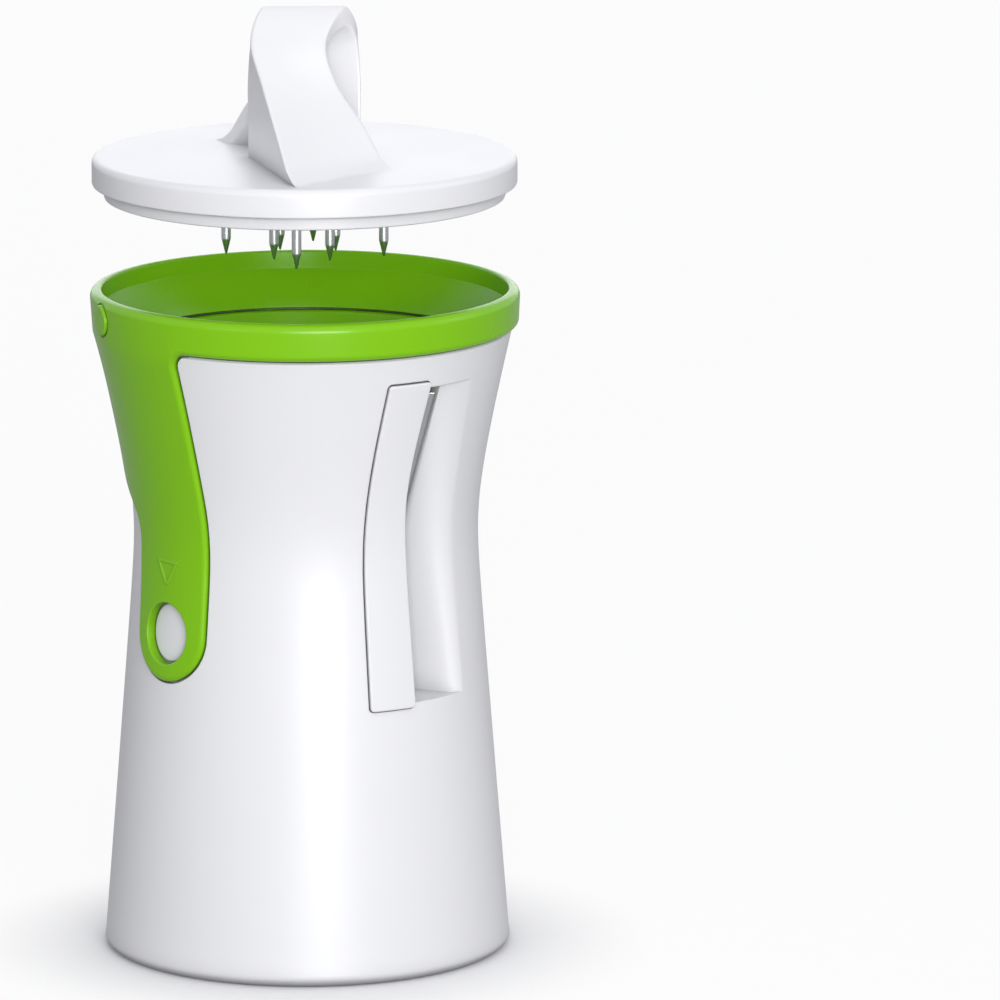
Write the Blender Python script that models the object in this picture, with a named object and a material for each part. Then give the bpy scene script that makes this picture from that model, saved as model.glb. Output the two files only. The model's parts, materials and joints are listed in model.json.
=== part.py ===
"""Hand spiralizer: an hourglass housing with two blade windows, a clip-on collar with two
spring arms, a cutting cone, and a loose cap that presses and turns the vegetable.

Metres, +Z up. The origin is the centre of the base's underside. The windows face -Y and +Y,
the collar's arms lie on -X and +X. In a window, u runs along the flow of the strands, d runs
straight out of the housing, and the rear window is the front one turned half a turn.
"""

from math import asin, atan, cos, hypot, pi, radians, sin, sqrt, tan

import bmesh
import bpy
from mathutils import Matrix, Vector

MM = 0.001

# Fits: the gap that touching pieces keep, and the play round a pin in its hole
GAP = 0.3 * MM
PIN_PLAY = 0.3 * MM

# Fineness of the round pieces
ROUND_SIDES = 48
SMALL_SIDES = 16

# Housing: the upper pieces hang from its mouth, so their heights are measured down from there
HOUSING_HEIGHT = 143.9 * MM
FOOT_RADIUS = 46.6 * MM
WAIST_RADIUS = 39.3 * MM
MOUTH_RADIUS = 47.2 * MM
WAIST_DROP = 46.9 * MM
FOOT_SOFTNESS = 0.07
MOUTH_SOFTNESS = 0.38
HOUSING_WALL = 2.8 * MM
FOOT_BEVEL_WIDTH = 2.2 * MM
FOOT_BEVEL_HEIGHT = 2.7 * MM
FOOT_RIM_WIDTH = 3.0 * MM
FOOT_RIM_HEIGHT = 2.4 * MM
LUG_DEPTH = 0.9 * MM

# Collar: its height above the housing, and how far it stands out past the housing's mouth
BAND_HEIGHT = 8.6 * MM
RIM_PROUD = 1.8 * MM
BAND_PROUD = 1.4 * MM
RIM_WALL = 2.7 * MM
RIM_STRAIGHT = 4.0 * MM
SKIRT_LENGTH = 4.2 * MM
SKIRT_WALL = 1.8 * MM
LEAD_IN_HEIGHT = 6.0 * MM
PIP_RADIUS = 3.5 * MM
PIP_PROUD = 0.6 * MM
PIP_ANGLE = radians(19.7)

# Collar arms, in the arm's own plane: across is towards the rear
ARM_THICKNESS = 2.2 * MM
ARM_PROUD = 1.0 * MM
ARM_BLEND_HEIGHT = 14.0 * MM
ARM_HALF_WIDTH = 11.8 * MM
ARM_NECK_HALF_WIDTH = 10.3 * MM
ARM_END_LENGTH = 11.0 * MM
ARM_CORNER_RADIUS = 3.5 * MM
ARM_HOLE_RADIUS = 7.0 * MM
ARM_HOLE_DROP = 66.1 * MM
WING_DROP = 42.4 * MM
WING_REACH = 42.0 * MM
MARK_DROP = 52.0 * MM
MARK_WIDTH = 8.8 * MM
MARK_LINE = 0.8 * MM
MARK_PROUD = 0.35 * MM

# Cutting cone
CONE_DEPTH = 81.7 * MM
CONE_TIP_RADIUS = 9.0 * MM
CONE_MOUTH_INSET = 7.4 * MM
CONE_WALL = 2.0 * MM
FLANGE_THICKNESS = 1.8 * MM

# Windows, blades, combs and guards
WINDOW_DROP = 7.7 * MM
WINDOW_LENGTH = 73.0 * MM
WINDOW_UPSTREAM = 8.0 * MM
RAMP_END_BOTTOM = radians(19.7)
RAMP_END_TOP = radians(16.5)
RAMP_LEAD = 6.5 * MM
RAMP_DIVE = radians(9)
DUCT_WALL = 2.0 * MM
BLADE_EDGE_UPSTREAM = 5.0 * MM
BLADE_ANGLE = radians(35)
BLADE_WIDTH = 10.2 * MM
BLADE_THICKNESS = 0.7 * MM
BLADE_BEVEL = 1.6 * MM
BLADE_BITE = 1.5 * MM
BLADE_TOP_ROOM = 2.3 * MM
PEG_RADIUS = 1.2 * MM
PEG_PROUD = 0.5 * MM
PEG_SPREAD = 0.30
COMB_THICKNESS = 0.6 * MM
COMB_STRIP_WIDTH = 2.0 * MM
TOOTH_REACH = 3.0 * MM
THICK_STRAND = 5.0 * MM
THIN_STRAND = 3.0 * MM
GUARD_PROUD = 1.0 * MM
GUARD_THICKNESS = 1.9 * MM
GUARD_LAP_BELOW = 0.9 * MM
GUARD_LAP_ABOVE = 1.4 * MM
GUARD_LEFT_TOP = 12.0 * MM
GUARD_LEFT_BOTTOM = 13.8 * MM
GUARD_RIGHT_TOP = 1.2 * MM
GUARD_RIGHT_WAIST = 3.9 * MM
GUARD_RIGHT_BOTTOM = 2.5 * MM
GUARD_CORNER = 0.8 * MM
WEB_THICKNESS = 1.8 * MM

# Cap: heights below are measured down from its top face
CAP_LIFT = 23.6 * MM
CAP_INSET = 0.7 * MM
CAP_DEPTH = 6.5 * MM
CAP_EDGE_RADIUS = 1.6 * MM
CAP_WALL = 2.4 * MM
GUIDE_PROUD = 3.1 * MM
GUIDE_WALL = 2.2 * MM
GUIDE_FLANGE_WIDTH = 1.8 * MM
PLATE_THICKNESS = 2.1 * MM
PLATE_RECESS = 2.4 * MM
PLATE_SCREW_INSET = 13.1 * MM
PLATE_SCREW_COUNT = 3
BOSS_RADIUS = 3.4 * MM
SCREW_RADIUS = 1.2 * MM
SCREW_HEAD_RADIUS = 2.6 * MM
SCREW_HEAD_HEIGHT = 1.5 * MM
SCREW_END_DEPTH = 1.5 * MM
PRONG_RADIUS = 1.1 * MM
PRONG_HEAD_RADIUS = 2.2 * MM
PRONG_HEAD_HEIGHT = 0.8 * MM
PRONG_LENGTH = 16.0 * MM
PRONG_POINT = 3.5 * MM
PRONG_RING_COUNT = 4
PRONG_RINGS = (9.0 * MM, 18.0 * MM)

# Handle: a strap that rises from two slanted feet and twists into a level bar
HANDLE_HEIGHT = 34.0 * MM
HANDLE_BAR_LENGTH = 18.8 * MM
HANDLE_BAR_DEPTH = 5.0 * MM
HANDLE_TURN = radians(-39)
HANDLE_FOOT_INSET = 2.7 * MM
HANDLE_FOOT_SIDE_X = 18.9 * MM
HANDLE_FOOT_SIDE_Y = 19.3 * MM
HANDLE_FOOT_HEEL_X = 12.9 * MM
HANDLE_FOOT_HEEL_Y = 2.3 * MM
HANDLE_SINK = 1.2 * MM

# Sizes that follow from the ones above
WAIST_HEIGHT = HOUSING_HEIGHT - WAIST_DROP
ARM_HOLE_HEIGHT = HOUSING_HEIGHT - ARM_HOLE_DROP
WING_START_HEIGHT = HOUSING_HEIGHT - WING_DROP
MARK_HEIGHT = HOUSING_HEIGHT - MARK_DROP
RIM_RADIUS = MOUTH_RADIUS + RIM_PROUD
BAND_LOWER_RADIUS = MOUTH_RADIUS + BAND_PROUD
BAND_BOTTOM = HOUSING_HEIGHT + GAP
RIM_HEIGHT = BAND_BOTTOM + BAND_HEIGHT
SKIRT_BOTTOM = BAND_BOTTOM - SKIRT_LENGTH
FLANGE_TOP = SKIRT_BOTTOM - GAP
FLANGE_BOTTOM = FLANGE_TOP - FLANGE_THICKNESS
CONE_BOTTOM = FLANGE_TOP - CONE_DEPTH
CONE_MOUTH_RADIUS = MOUTH_RADIUS - CONE_MOUTH_INSET
CONE_SLOPE = atan((CONE_MOUTH_RADIUS - CONE_TIP_RADIUS) / (FLANGE_TOP - CONE_BOTTOM))
CONE_WALL_ACROSS = CONE_WALL / cos(CONE_SLOPE)
ARM_DEPTH = ARM_THICKNESS - ARM_PROUD
WINDOW_TOP = HOUSING_HEIGHT - WINDOW_DROP
WINDOW_BOTTOM = WINDOW_TOP - WINDOW_LENGTH
GUARD_BOTTOM = WINDOW_BOTTOM - GUARD_LAP_BELOW
GUARD_TOP = WINDOW_TOP + GUARD_LAP_ABOVE
GUARD_DEPTH = GUARD_THICKNESS - GUARD_PROUD
CAP_RADIUS = RIM_RADIUS - CAP_INSET
PLATE_RADIUS = CAP_RADIUS - CAP_WALL - GUIDE_WALL - 2 * GAP
PLATE_SCREW_CIRCLE = PLATE_RADIUS - PLATE_SCREW_INSET
HANDLE_FOOT_TIP = CAP_RADIUS - HANDLE_FOOT_INSET
CAP_TOP = RIM_HEIGHT + GAP + CAP_DEPTH + CAP_LIFT
SEAT_DEPTH = BLADE_THICKNESS + GAP
BLADE_BACK = BLADE_WIDTH * cos(BLADE_ANGLE) - BLADE_EDGE_UPSTREAM
LAND_END = BLADE_BACK + GAP
BLADE_TOP = WINDOW_TOP - BLADE_TOP_ROOM


def clear_scene():
    for item in list(bpy.data.objects):
        bpy.data.objects.remove(item, do_unlink=True)


def plastic(name, colour, roughness):
    material = bpy.data.materials.new(name)
    material.use_nodes = True
    shader = material.node_tree.nodes["Principled BSDF"]
    shader.inputs["Base Color"].default_value = (*colour, 1.0)
    shader.inputs["Roughness"].default_value = roughness
    shader.inputs["Metallic"].default_value = 0.0
    material.diffuse_color = (*colour, 1.0)
    return material


def steel(name, colour, roughness):
    material = plastic(name, colour, roughness)
    material.node_tree.nodes["Principled BSDF"].inputs["Metallic"].default_value = 1.0
    return material


# Shared shapes

def between(start, end, share):
    return start + (end - start) * share


def steps(start, end, count):
    return [between(start, end, i / count) for i in range(count + 1)]


def flare(share, softness):
    """0 at the waist, 1 at the end, with a soft bend at the waist."""
    return (hypot(share, softness) - softness) / (hypot(1.0, softness) - softness)


def housing_radius(z):
    if z < WAIST_HEIGHT:
        share = (WAIST_HEIGHT - z) / WAIST_HEIGHT
        return between(WAIST_RADIUS, FOOT_RADIUS, flare(share, FOOT_SOFTNESS))
    share = (z - WAIST_HEIGHT) / (HOUSING_HEIGHT - WAIST_HEIGHT)
    return between(WAIST_RADIUS, MOUTH_RADIUS, flare(share, MOUTH_SOFTNESS))


def cone_radius(z):
    return CONE_TIP_RADIUS + (z - CONE_BOTTOM) * tan(CONE_SLOPE)


def arc(centre, radius_a, radius_b, start, end, count):
    """Points of a round stretch in a plane, with a half-width and a half-height."""
    return [
        (centre[0] + radius_a * cos(angle), centre[1] + radius_b * sin(angle))
        for angle in steps(start, end, count)
    ]


def smooth_line(points, count):
    """A smooth curve through the points, with a number of steps on each stretch."""
    padded = [points[0], *points, points[-1]]
    line = []
    for before, start, end, after in zip(padded, padded[1:], padded[2:], padded[3:]):
        for i in range(count):
            t = i / count
            line.append(tuple(
                0.5 * (2 * b + (c - a) * t + (2 * a - 5 * b + 4 * c - d) * t * t
                       + (3 * b - a - 3 * c + d) * t ** 3)
                for a, b, c, d in zip(before, start, end, after)))
    return line + [tuple(points[-1])]


def grown(outline, distance):
    """The outline moved outwards by a distance; the outline runs anticlockwise."""
    result = []
    count = len(outline)
    for i, point in enumerate(outline):
        back = Vector(point) - Vector(outline[i - 1])
        ahead = Vector(outline[(i + 1) % count]) - Vector(point)
        back.normalize()
        ahead.normalize()
        middle = back + ahead
        middle.normalize()
        normal = Vector((middle.y, -middle.x))
        stretch = 1.0 / max(0.5, middle.dot(ahead))
        result.append(tuple(Vector(point) + normal * distance * stretch))
    return result


def new_object(name, mesh_builder):
    mesh = bpy.data.meshes.new(name)
    bmesh.ops.recalc_face_normals(mesh_builder, faces=mesh_builder.faces)
    mesh_builder.to_mesh(mesh)
    mesh_builder.free()
    item = bpy.data.objects.new(name, mesh)
    bpy.context.scene.collection.objects.link(item)
    return item


def turned(name, profile, sides=ROUND_SIDES):
    """A solid of revolution about Z from a closed profile of (radius, height) points."""
    builder = bmesh.new()
    verts = [builder.verts.new((radius, 0.0, height)) for radius, height in profile]
    edges = [builder.edges.new((verts[i - 1], verts[i])) for i in range(len(verts))]
    bmesh.ops.spin(builder, geom=verts + edges, cent=(0, 0, 0), axis=(0, 0, 1),
                   angle=2 * pi, steps=sides, use_merge=True)
    bmesh.ops.remove_doubles(builder, verts=builder.verts, dist=1e-7)
    flat = [edge for edge in builder.edges if not edge.link_faces]
    bmesh.ops.delete(builder, geom=flat, context="EDGES")
    return new_object(name, builder)


def lofted(name, rings):
    """A solid through rings of the same number of points, closed at both ends."""
    builder = bmesh.new()
    rows = [[builder.verts.new(point) for point in ring] for ring in rings]
    for lower, upper in zip(rows, rows[1:]):
        for i in range(len(lower)):
            builder.faces.new((lower[i - 1], lower[i], upper[i], upper[i - 1]))
    builder.faces.new(list(reversed(rows[0])))
    builder.faces.new(rows[-1])
    return new_object(name, builder)


def prism(name, outline, near, far, place):
    """An outline pushed from near to far; place turns (a, b, distance) into a point."""
    return lofted(name, [[place(a, b, distance) for a, b in outline] for distance in (near, far)])


def rod(name, radius, start, end, sides=SMALL_SIDES):
    """A round rod between two points."""
    start, end = Vector(start), Vector(end)
    turn = (end - start).to_track_quat("Z", "Y").to_matrix()
    rings = []
    for centre in (start, end):
        ring = []
        for i in range(sides):
            angle = 2 * pi * i / sides
            ring.append(centre + turn @ Vector((radius * cos(angle), radius * sin(angle), 0)))
        rings.append(ring)
    return lofted(name, rings)


def together(name, items):
    """Several shapes that don't meet, as one object."""
    builder = bmesh.new()
    for item in items:
        builder.from_mesh(item.data)
        bpy.data.objects.remove(item, do_unlink=True)
    return new_object(name, builder)


def mated(item, tool, operation):
    """Joins, cuts or intersects an object with a tool, and uses the tool up."""
    modifier = item.modifiers.new(operation, "BOOLEAN")
    modifier.object = tool
    modifier.operation = operation
    modifier.solver = "EXACT"
    bpy.context.view_layer.update()
    graph = bpy.context.evaluated_depsgraph_get()
    mesh = bpy.data.meshes.new_from_object(item.evaluated_get(graph))
    item.modifiers.clear()
    item.data = mesh
    bpy.data.objects.remove(tool, do_unlink=True)
    return item


def cut(item, tool):
    return mated(item, tool, "DIFFERENCE")


def join(item, tool):
    return mated(item, tool, "UNION")


def keep_inside(item, tool):
    return mated(item, tool, "INTERSECT")


def finished(item, name, material):
    item.name = name
    item.data.name = name
    item.data.materials.clear()
    item.data.materials.append(material)
    item.data.shade_smooth()
    item.data.set_sharp_from_angle(angle=radians(32))
    return item


def sleeve(name, inner, outer, bottom, top, rows):
    """A turned skin that follows the housing: inner and outer give the radius at a height."""
    heights = steps(bottom, top, rows)
    profile = [(outer(z), z) for z in heights] + [(inner(z), z) for z in reversed(heights)]
    return turned(name, profile)


# Places in a window and on an arm

def front(u, d, z):
    return Vector((u, -d, z))


def rear(u, d, z):
    return Vector((-u, d, z))


def left_arm(across, z, distance):
    return Vector((-distance, across, z))


def right_arm(across, z, distance):
    return Vector((distance, across, z))


SIDES = {"front": front, "rear": rear}


def out_of(side):
    """Turns an outline of (u, z) and a distance into a point of that window."""
    return lambda u, z, distance: side(u, distance, z)


# Blade plane: the edge is a straight line near the cone's wall

def edge_distance(z):
    """How far out the cutting edge lies at a height."""
    def on_cone(height):
        return sqrt(cone_radius(height) ** 2 - BLADE_EDGE_UPSTREAM ** 2) - BLADE_BITE
    low, high = on_cone(WINDOW_BOTTOM), on_cone(WINDOW_TOP)
    return between(low, high, (z - WINDOW_BOTTOM) / (WINDOW_TOP - WINDOW_BOTTOM))


EDGE_LEAN = atan((edge_distance(WINDOW_TOP) - edge_distance(WINDOW_BOTTOM))
                 / (WINDOW_TOP - WINDOW_BOTTOM))


def blade_plane(u, z, below=0.0):
    """Distance out of the blade's upper face, or of the plane a depth below it."""
    rise = tan(BLADE_ANGLE) / cos(EDGE_LEAN)
    drop = below / (cos(BLADE_ANGLE) * cos(EDGE_LEAN))
    return edge_distance(z) + (u + BLADE_EDGE_UPSTREAM) * rise - drop


def blade_normal(side):
    """The blade's upper face looks this way."""
    normal = Vector((-sin(BLADE_ANGLE), cos(BLADE_ANGLE) * cos(EDGE_LEAN),
                     -cos(BLADE_ANGLE) * sin(EDGE_LEAN)))
    return side(*normal)


def ramp_end(z):
    share = (z - WINDOW_BOTTOM) / (WINDOW_TOP - WINDOW_BOTTOM)
    return between(RAMP_END_BOTTOM, RAMP_END_TOP, share)


def ramp_line(z, count=6):
    """The ramp at a height, from the blade's back edge to the housing's skin."""
    start = Vector((LAND_END, blade_plane(LAND_END, z)))
    angle = ramp_end(z)
    radius = housing_radius(z)
    end = Vector((radius * sin(angle), radius * cos(angle)))
    lead = Vector((-cos(angle - RAMP_DIVE), sin(angle - RAMP_DIVE))) * RAMP_LEAD
    bend = end + lead
    line = []
    for t in steps(0.0, 1.0, count):
        line.append(start * (1 - t) ** 2 + bend * 2 * t * (1 - t) + end * t * t)
    past = end - lead.normalized() * GUARD_THICKNESS
    return line + [past]


def moved_aside(line, distance):
    """The line moved to its right-hand side."""
    result = []
    for i, point in enumerate(line):
        ahead = line[min(i + 1, len(line) - 1)] - line[max(i - 1, 0)]
        ahead.normalize()
        result.append(point + Vector((ahead.y, -ahead.x)) * distance)
    return result


FAR_OUT = RIM_RADIUS * 1.3
DEEP = 2 * BLADE_BITE


def window_heights(extra):
    return steps(WINDOW_BOTTOM - extra, WINDOW_TOP + extra, 10)


def window_void(name, side):
    """The room of the window in the housing: open from the cone out to the skin."""
    rings = []
    for z in window_heights(0.0):
        deep = edge_distance(z) - DEEP
        line = ramp_line(z)
        outline = [Vector((-WINDOW_UPSTREAM, deep)), Vector((LAND_END + GAP, deep))]
        outline += [Vector((LAND_END + GAP, blade_plane(LAND_END + GAP, z)))] + line[1:]
        outline += [Vector((line[-1].x, FAR_OUT)), Vector((-WINDOW_UPSTREAM, FAR_OUT))]
        rings.append([side(point.x, point.y, z) for point in outline])
    return lofted(name, rings)


def window_walls(name, side):
    """The block that the window's room is cut from: its side, end and ramp walls."""
    rings = []
    for z in window_heights(DUCT_WALL):
        deep = edge_distance(z) - DEEP
        back = moved_aside(ramp_line(z)[:-1], DUCT_WALL)
        outline = [Vector((-WINDOW_UPSTREAM - DUCT_WALL, deep)), Vector((back[0].x, deep))]
        outline += back
        outline += [Vector((back[-1].x, FAR_OUT)),
                    Vector((-WINDOW_UPSTREAM - DUCT_WALL, FAR_OUT))]
        rings.append([side(point.x, point.y, z) for point in outline])
    return lofted(name, rings)


def blade_path(name, side):
    """The notch above the window that lets the cone be lifted out with its blades."""
    outline = [(-BLADE_EDGE_UPSTREAM - GAP, edge_distance(WINDOW_TOP) - DEEP),
               (LAND_END + GAP, edge_distance(WINDOW_TOP) - DEEP),
               (LAND_END + GAP, housing_radius(WINDOW_TOP) - HOUSING_WALL),
               (-BLADE_EDGE_UPSTREAM - GAP, housing_radius(WINDOW_TOP) - HOUSING_WALL)]
    return prism(name, outline, WINDOW_TOP - BLADE_TOP_ROOM, FLANGE_TOP,
                 lambda u, d, height: side(u, d, height))


def cone_slot(name, side):
    """The slot in the cone: up to the face that the blade lies on."""
    rings = []
    for z in (WINDOW_BOTTOM, WINDOW_TOP):
        deep = edge_distance(z) - DEEP
        outline = [
            (-WINDOW_UPSTREAM, deep),
            (-BLADE_EDGE_UPSTREAM, blade_plane(-BLADE_EDGE_UPSTREAM, z, SEAT_DEPTH)),
            (LAND_END + GAP, blade_plane(LAND_END + GAP, z, SEAT_DEPTH)),
            (LAND_END + GAP, FAR_OUT),
            (-WINDOW_UPSTREAM, FAR_OUT),
        ]
        rings.append([side(u, d, z) for u, d in outline])
    return lofted(name, rings)


# Outlines

def guard_outline():
    """The fin that covers the blade, as (u, z), anticlockwise from its lower left."""
    height = GUARD_TOP - GUARD_BOTTOM
    right = smooth_line([
        (-GUARD_RIGHT_BOTTOM, GUARD_BOTTOM + GUARD_CORNER),
        (-between(GUARD_RIGHT_BOTTOM, GUARD_RIGHT_WAIST, 0.5), GUARD_BOTTOM + height * 0.4),
        (-GUARD_RIGHT_WAIST, GUARD_BOTTOM + height * 0.68),
        (-GUARD_RIGHT_TOP, GUARD_TOP - GUARD_CORNER),
    ], 4)
    left = smooth_line([
        (-GUARD_LEFT_TOP, GUARD_TOP - GUARD_CORNER),
        (-between(GUARD_LEFT_TOP, GUARD_LEFT_BOTTOM, 0.8), GUARD_BOTTOM + height * 0.64),
        (-GUARD_LEFT_BOTTOM, GUARD_BOTTOM + GUARD_CORNER),
    ], 4)
    return ([(-GUARD_LEFT_BOTTOM + GUARD_CORNER, GUARD_BOTTOM),
             (-GUARD_RIGHT_BOTTOM - GUARD_CORNER, GUARD_BOTTOM)] + right
            + [(-GUARD_RIGHT_TOP - GUARD_CORNER, GUARD_TOP),
               (-GUARD_LEFT_TOP + GUARD_CORNER, GUARD_TOP)] + left)


def arm_outline(top):
    """A collar arm as (across, height), anticlockwise; the rear edge sweeps up to the band."""
    foot = arc((0.0, ARM_HOLE_HEIGHT), ARM_HALF_WIDTH, ARM_END_LENGTH, pi, 2 * pi, 12)
    wing = smooth_line([
        (ARM_HALF_WIDTH, ARM_HOLE_HEIGHT),
        (ARM_HALF_WIDTH + 0.7 * MM, between(ARM_HOLE_HEIGHT, WING_START_HEIGHT, 0.6)),
        (ARM_HALF_WIDTH + 2.3 * MM, WING_START_HEIGHT),
        (between(ARM_HALF_WIDTH, WING_REACH, 0.40), WING_START_HEIGHT + 7.6 * MM),
        (between(ARM_HALF_WIDTH, WING_REACH, 0.72), between(WING_START_HEIGHT, BAND_BOTTOM, 0.40)),
        (between(ARM_HALF_WIDTH, WING_REACH, 0.92), between(WING_START_HEIGHT, BAND_BOTTOM, 0.72)),
        (WING_REACH, BAND_BOTTOM),
    ], 4)
    corner = arc((-ARM_NECK_HALF_WIDTH - ARM_CORNER_RADIUS, BAND_BOTTOM - ARM_CORNER_RADIUS),
                 ARM_CORNER_RADIUS, ARM_CORNER_RADIUS, pi / 2, 0.0, 4)
    edge = smooth_line([
        (-ARM_NECK_HALF_WIDTH, BAND_BOTTOM - ARM_CORNER_RADIUS),
        (-between(ARM_NECK_HALF_WIDTH, ARM_HALF_WIDTH, 0.45), WING_START_HEIGHT + 16 * MM),
        (-between(ARM_NECK_HALF_WIDTH, ARM_HALF_WIDTH, 0.95), WING_START_HEIGHT),
        (-ARM_HALF_WIDTH, ARM_HOLE_HEIGHT),
    ], 4)
    closing = [(WING_REACH, top), (corner[0][0], top)]
    return foot + wing[1:] + closing + corner + edge[1:-1]


# Pieces of the housing

def housing_solid():
    levels = steps(FOOT_BEVEL_HEIGHT, WAIST_HEIGHT, 6)
    levels += steps(WAIST_HEIGHT, HOUSING_HEIGHT, 8)[1:]
    outside = [(FOOT_RADIUS - FOOT_BEVEL_WIDTH, 0.0),
               (FOOT_RADIUS - FOOT_BEVEL_WIDTH * 0.3, FOOT_BEVEL_HEIGHT * 0.55)]
    outside += [(housing_radius(z), z) for z in levels]
    return outside


def outer_body(material):
    """The white hourglass shell with its two windows, arm beds and snap lugs."""
    outside = housing_solid()
    inner_levels = steps(FOOT_RIM_HEIGHT, WAIST_HEIGHT, 3) + steps(WAIST_HEIGHT, HOUSING_HEIGHT, 5)[1:]
    inside = [(housing_radius(z) - HOUSING_WALL, z) for z in reversed(inner_levels)]
    rim_inside = FOOT_RADIUS - FOOT_BEVEL_WIDTH - FOOT_RIM_WIDTH
    shell = turned("shell", outside + inside + [(rim_inside, FOOT_RIM_HEIGHT), (rim_inside, 0.0)])

    full = turned("full", outside + [(0.0, HOUSING_HEIGHT), (0.0, 0.0)])
    walls = together("walls", [window_walls("wall", side) for side in SIDES.values()])
    walls = keep_inside(walls, full)
    walls = cut(walls, funnel_room())
    body = join(shell, walls)

    body = cut(body, together("voids", [window_void("void", side) for side in SIDES.values()]))
    body = cut(body, together("paths", [blade_path("path", side) for side in SIDES.values()]))

    arm_bed = sleeve("arm_bed", lambda z: housing_radius(z) - ARM_DEPTH - GAP,
                     lambda z: housing_radius(z) + RIM_WALL,
                     ARM_HOLE_HEIGHT - ARM_END_LENGTH - RIM_WALL, RIM_HEIGHT, 11)
    outline = grown(arm_outline(RIM_HEIGHT + RIM_WALL), GAP)
    beds = [prism("bed", outline, WAIST_RADIUS / 3, FAR_OUT, place)
            for place in (left_arm, right_arm)]
    body = cut(body, keep_inside(arm_bed, together("beds", beds)))

    guard_bed = sleeve("guard_bed", lambda z: housing_radius(z) - GUARD_DEPTH - GAP,
                       lambda z: housing_radius(z) + RIM_WALL,
                       GUARD_BOTTOM - RIM_WALL, GUARD_TOP + RIM_WALL, 10)
    outline = grown(guard_outline(), GAP)
    beds = [prism("bed", outline, WAIST_RADIUS / 3, FAR_OUT, out_of(side))
            for side in SIDES.values()]
    body = cut(body, keep_inside(guard_bed, together("beds", beds)))

    lugs = sleeve("lugs", lambda z: housing_radius(z) - ARM_DEPTH - 2 * GAP,
                  lambda z: housing_radius(z) - LUG_DEPTH,
                  ARM_HOLE_HEIGHT - ARM_HOLE_RADIUS, ARM_HOLE_HEIGHT + ARM_HOLE_RADIUS, 3)
    pins = [rod("pin", ARM_HOLE_RADIUS - PIN_PLAY, (sign * WAIST_RADIUS / 3, 0, ARM_HOLE_HEIGHT),
                (sign * FAR_OUT, 0, ARM_HOLE_HEIGHT), 2 * SMALL_SIDES) for sign in (-1, 1)]
    body = join(body, keep_inside(lugs, together("pins", pins)))
    return finished(body, "outer_body", material)


def funnel_profile(clearance):
    """The outside of the cone and its flange, grown by a clearance."""
    flange = housing_radius(FLANGE_BOTTOM) - HOUSING_WALL - GAP
    wall = CONE_WALL_ACROSS + clearance / cos(CONE_SLOPE)
    return [
        (cone_radius(CONE_BOTTOM - clearance) + wall, CONE_BOTTOM - clearance),
        (cone_radius(FLANGE_BOTTOM - clearance) + wall, FLANGE_BOTTOM - clearance),
        (flange + clearance, FLANGE_BOTTOM - clearance),
        (flange + clearance, FLANGE_TOP + clearance),
    ]


def funnel_room():
    """The space that the window walls leave for the cone and for lifting it out."""
    profile = funnel_profile(GAP)
    low, high = profile[0], profile[-1]
    inside = [(0.0, high[1] + RIM_HEIGHT), (0.0, CONE_BOTTOM - RIM_HEIGHT / 10)]
    mouth = [(high[0], high[1] + RIM_HEIGHT)]
    return turned("room", [(low[0], inside[1][1])] + profile[:-1] + mouth + inside)


def funnel(material):
    """The cone that the vegetable turns in, with two slots and a land for each blade."""
    outside = funnel_profile(0.0)
    inside = [(cone_radius(FLANGE_TOP), FLANGE_TOP), (CONE_TIP_RADIUS, CONE_BOTTOM)]
    cone = turned("cone", outside + inside)
    lands = []
    for side in SIDES.values():
        rings = []
        for z in (WINDOW_BOTTOM + GAP, BLADE_TOP):
            start = between(0.0, LAND_END, 0.35)
            inner = cone_radius(z) + CONE_WALL_ACROSS * 0.15
            outline = [
                (start, blade_plane(start, z, SEAT_DEPTH)),
                (LAND_END, blade_plane(LAND_END, z, SEAT_DEPTH)),
                (LAND_END, sqrt(inner ** 2 - LAND_END ** 2)),
                (start, sqrt(inner ** 2 - start ** 2)),
            ]
            rings.append([side(u, d, z) for u, d in outline])
        lands.append(lofted("land", rings))
    cone = join(cone, together("lands", lands))
    cone = cut(cone, together("slots", [cone_slot("slot", side) for side in SIDES.values()]))
    pegs = []
    for side in SIDES.values():
        normal = blade_normal(side)
        for point in peg_points(side):
            top = point + normal * (BLADE_THICKNESS + GAP + PEG_PROUD)
            pegs.append(rod("peg", PEG_RADIUS, point - normal * CONE_WALL * 0.4, top, 12))
    cone = join(cone, together("pegs", pegs))
    return finished(cone, "funnel", material)


def peg_points(side):
    """Where the pegs leave the face that the blade lies on."""
    u = BLADE_BACK - 2.2 * PEG_RADIUS
    middle = between(WINDOW_BOTTOM, WINDOW_TOP, 0.5)
    reach = (WINDOW_TOP - WINDOW_BOTTOM) * PEG_SPREAD
    return [side(u, blade_plane(u, z, SEAT_DEPTH), z) for z in (middle - reach, middle + reach)]


def blade(name, side, material):
    """A flat steel blade with one ground edge, held by two pegs of the cone."""
    rings = []
    bevel = BLADE_BEVEL * cos(BLADE_ANGLE) - BLADE_EDGE_UPSTREAM
    for z in (WINDOW_BOTTOM + GAP, BLADE_TOP):
        outline = [
            (-BLADE_EDGE_UPSTREAM, blade_plane(-BLADE_EDGE_UPSTREAM, z)),
            (bevel, blade_plane(bevel, z, BLADE_THICKNESS)),
            (BLADE_BACK, blade_plane(BLADE_BACK, z, BLADE_THICKNESS)),
            (BLADE_BACK, blade_plane(BLADE_BACK, z)),
        ]
        rings.append([side(u, d, z) for u, d in outline])
    plate = lofted(name, rings)
    normal = blade_normal(side)
    holes = [rod("hole", PEG_RADIUS + PIN_PLAY, point - normal * CONE_WALL,
                 point + normal * CONE_WALL, 12) for point in peg_points(side)]
    return finished(cut(plate, together("holes", holes)), name, material)


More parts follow.
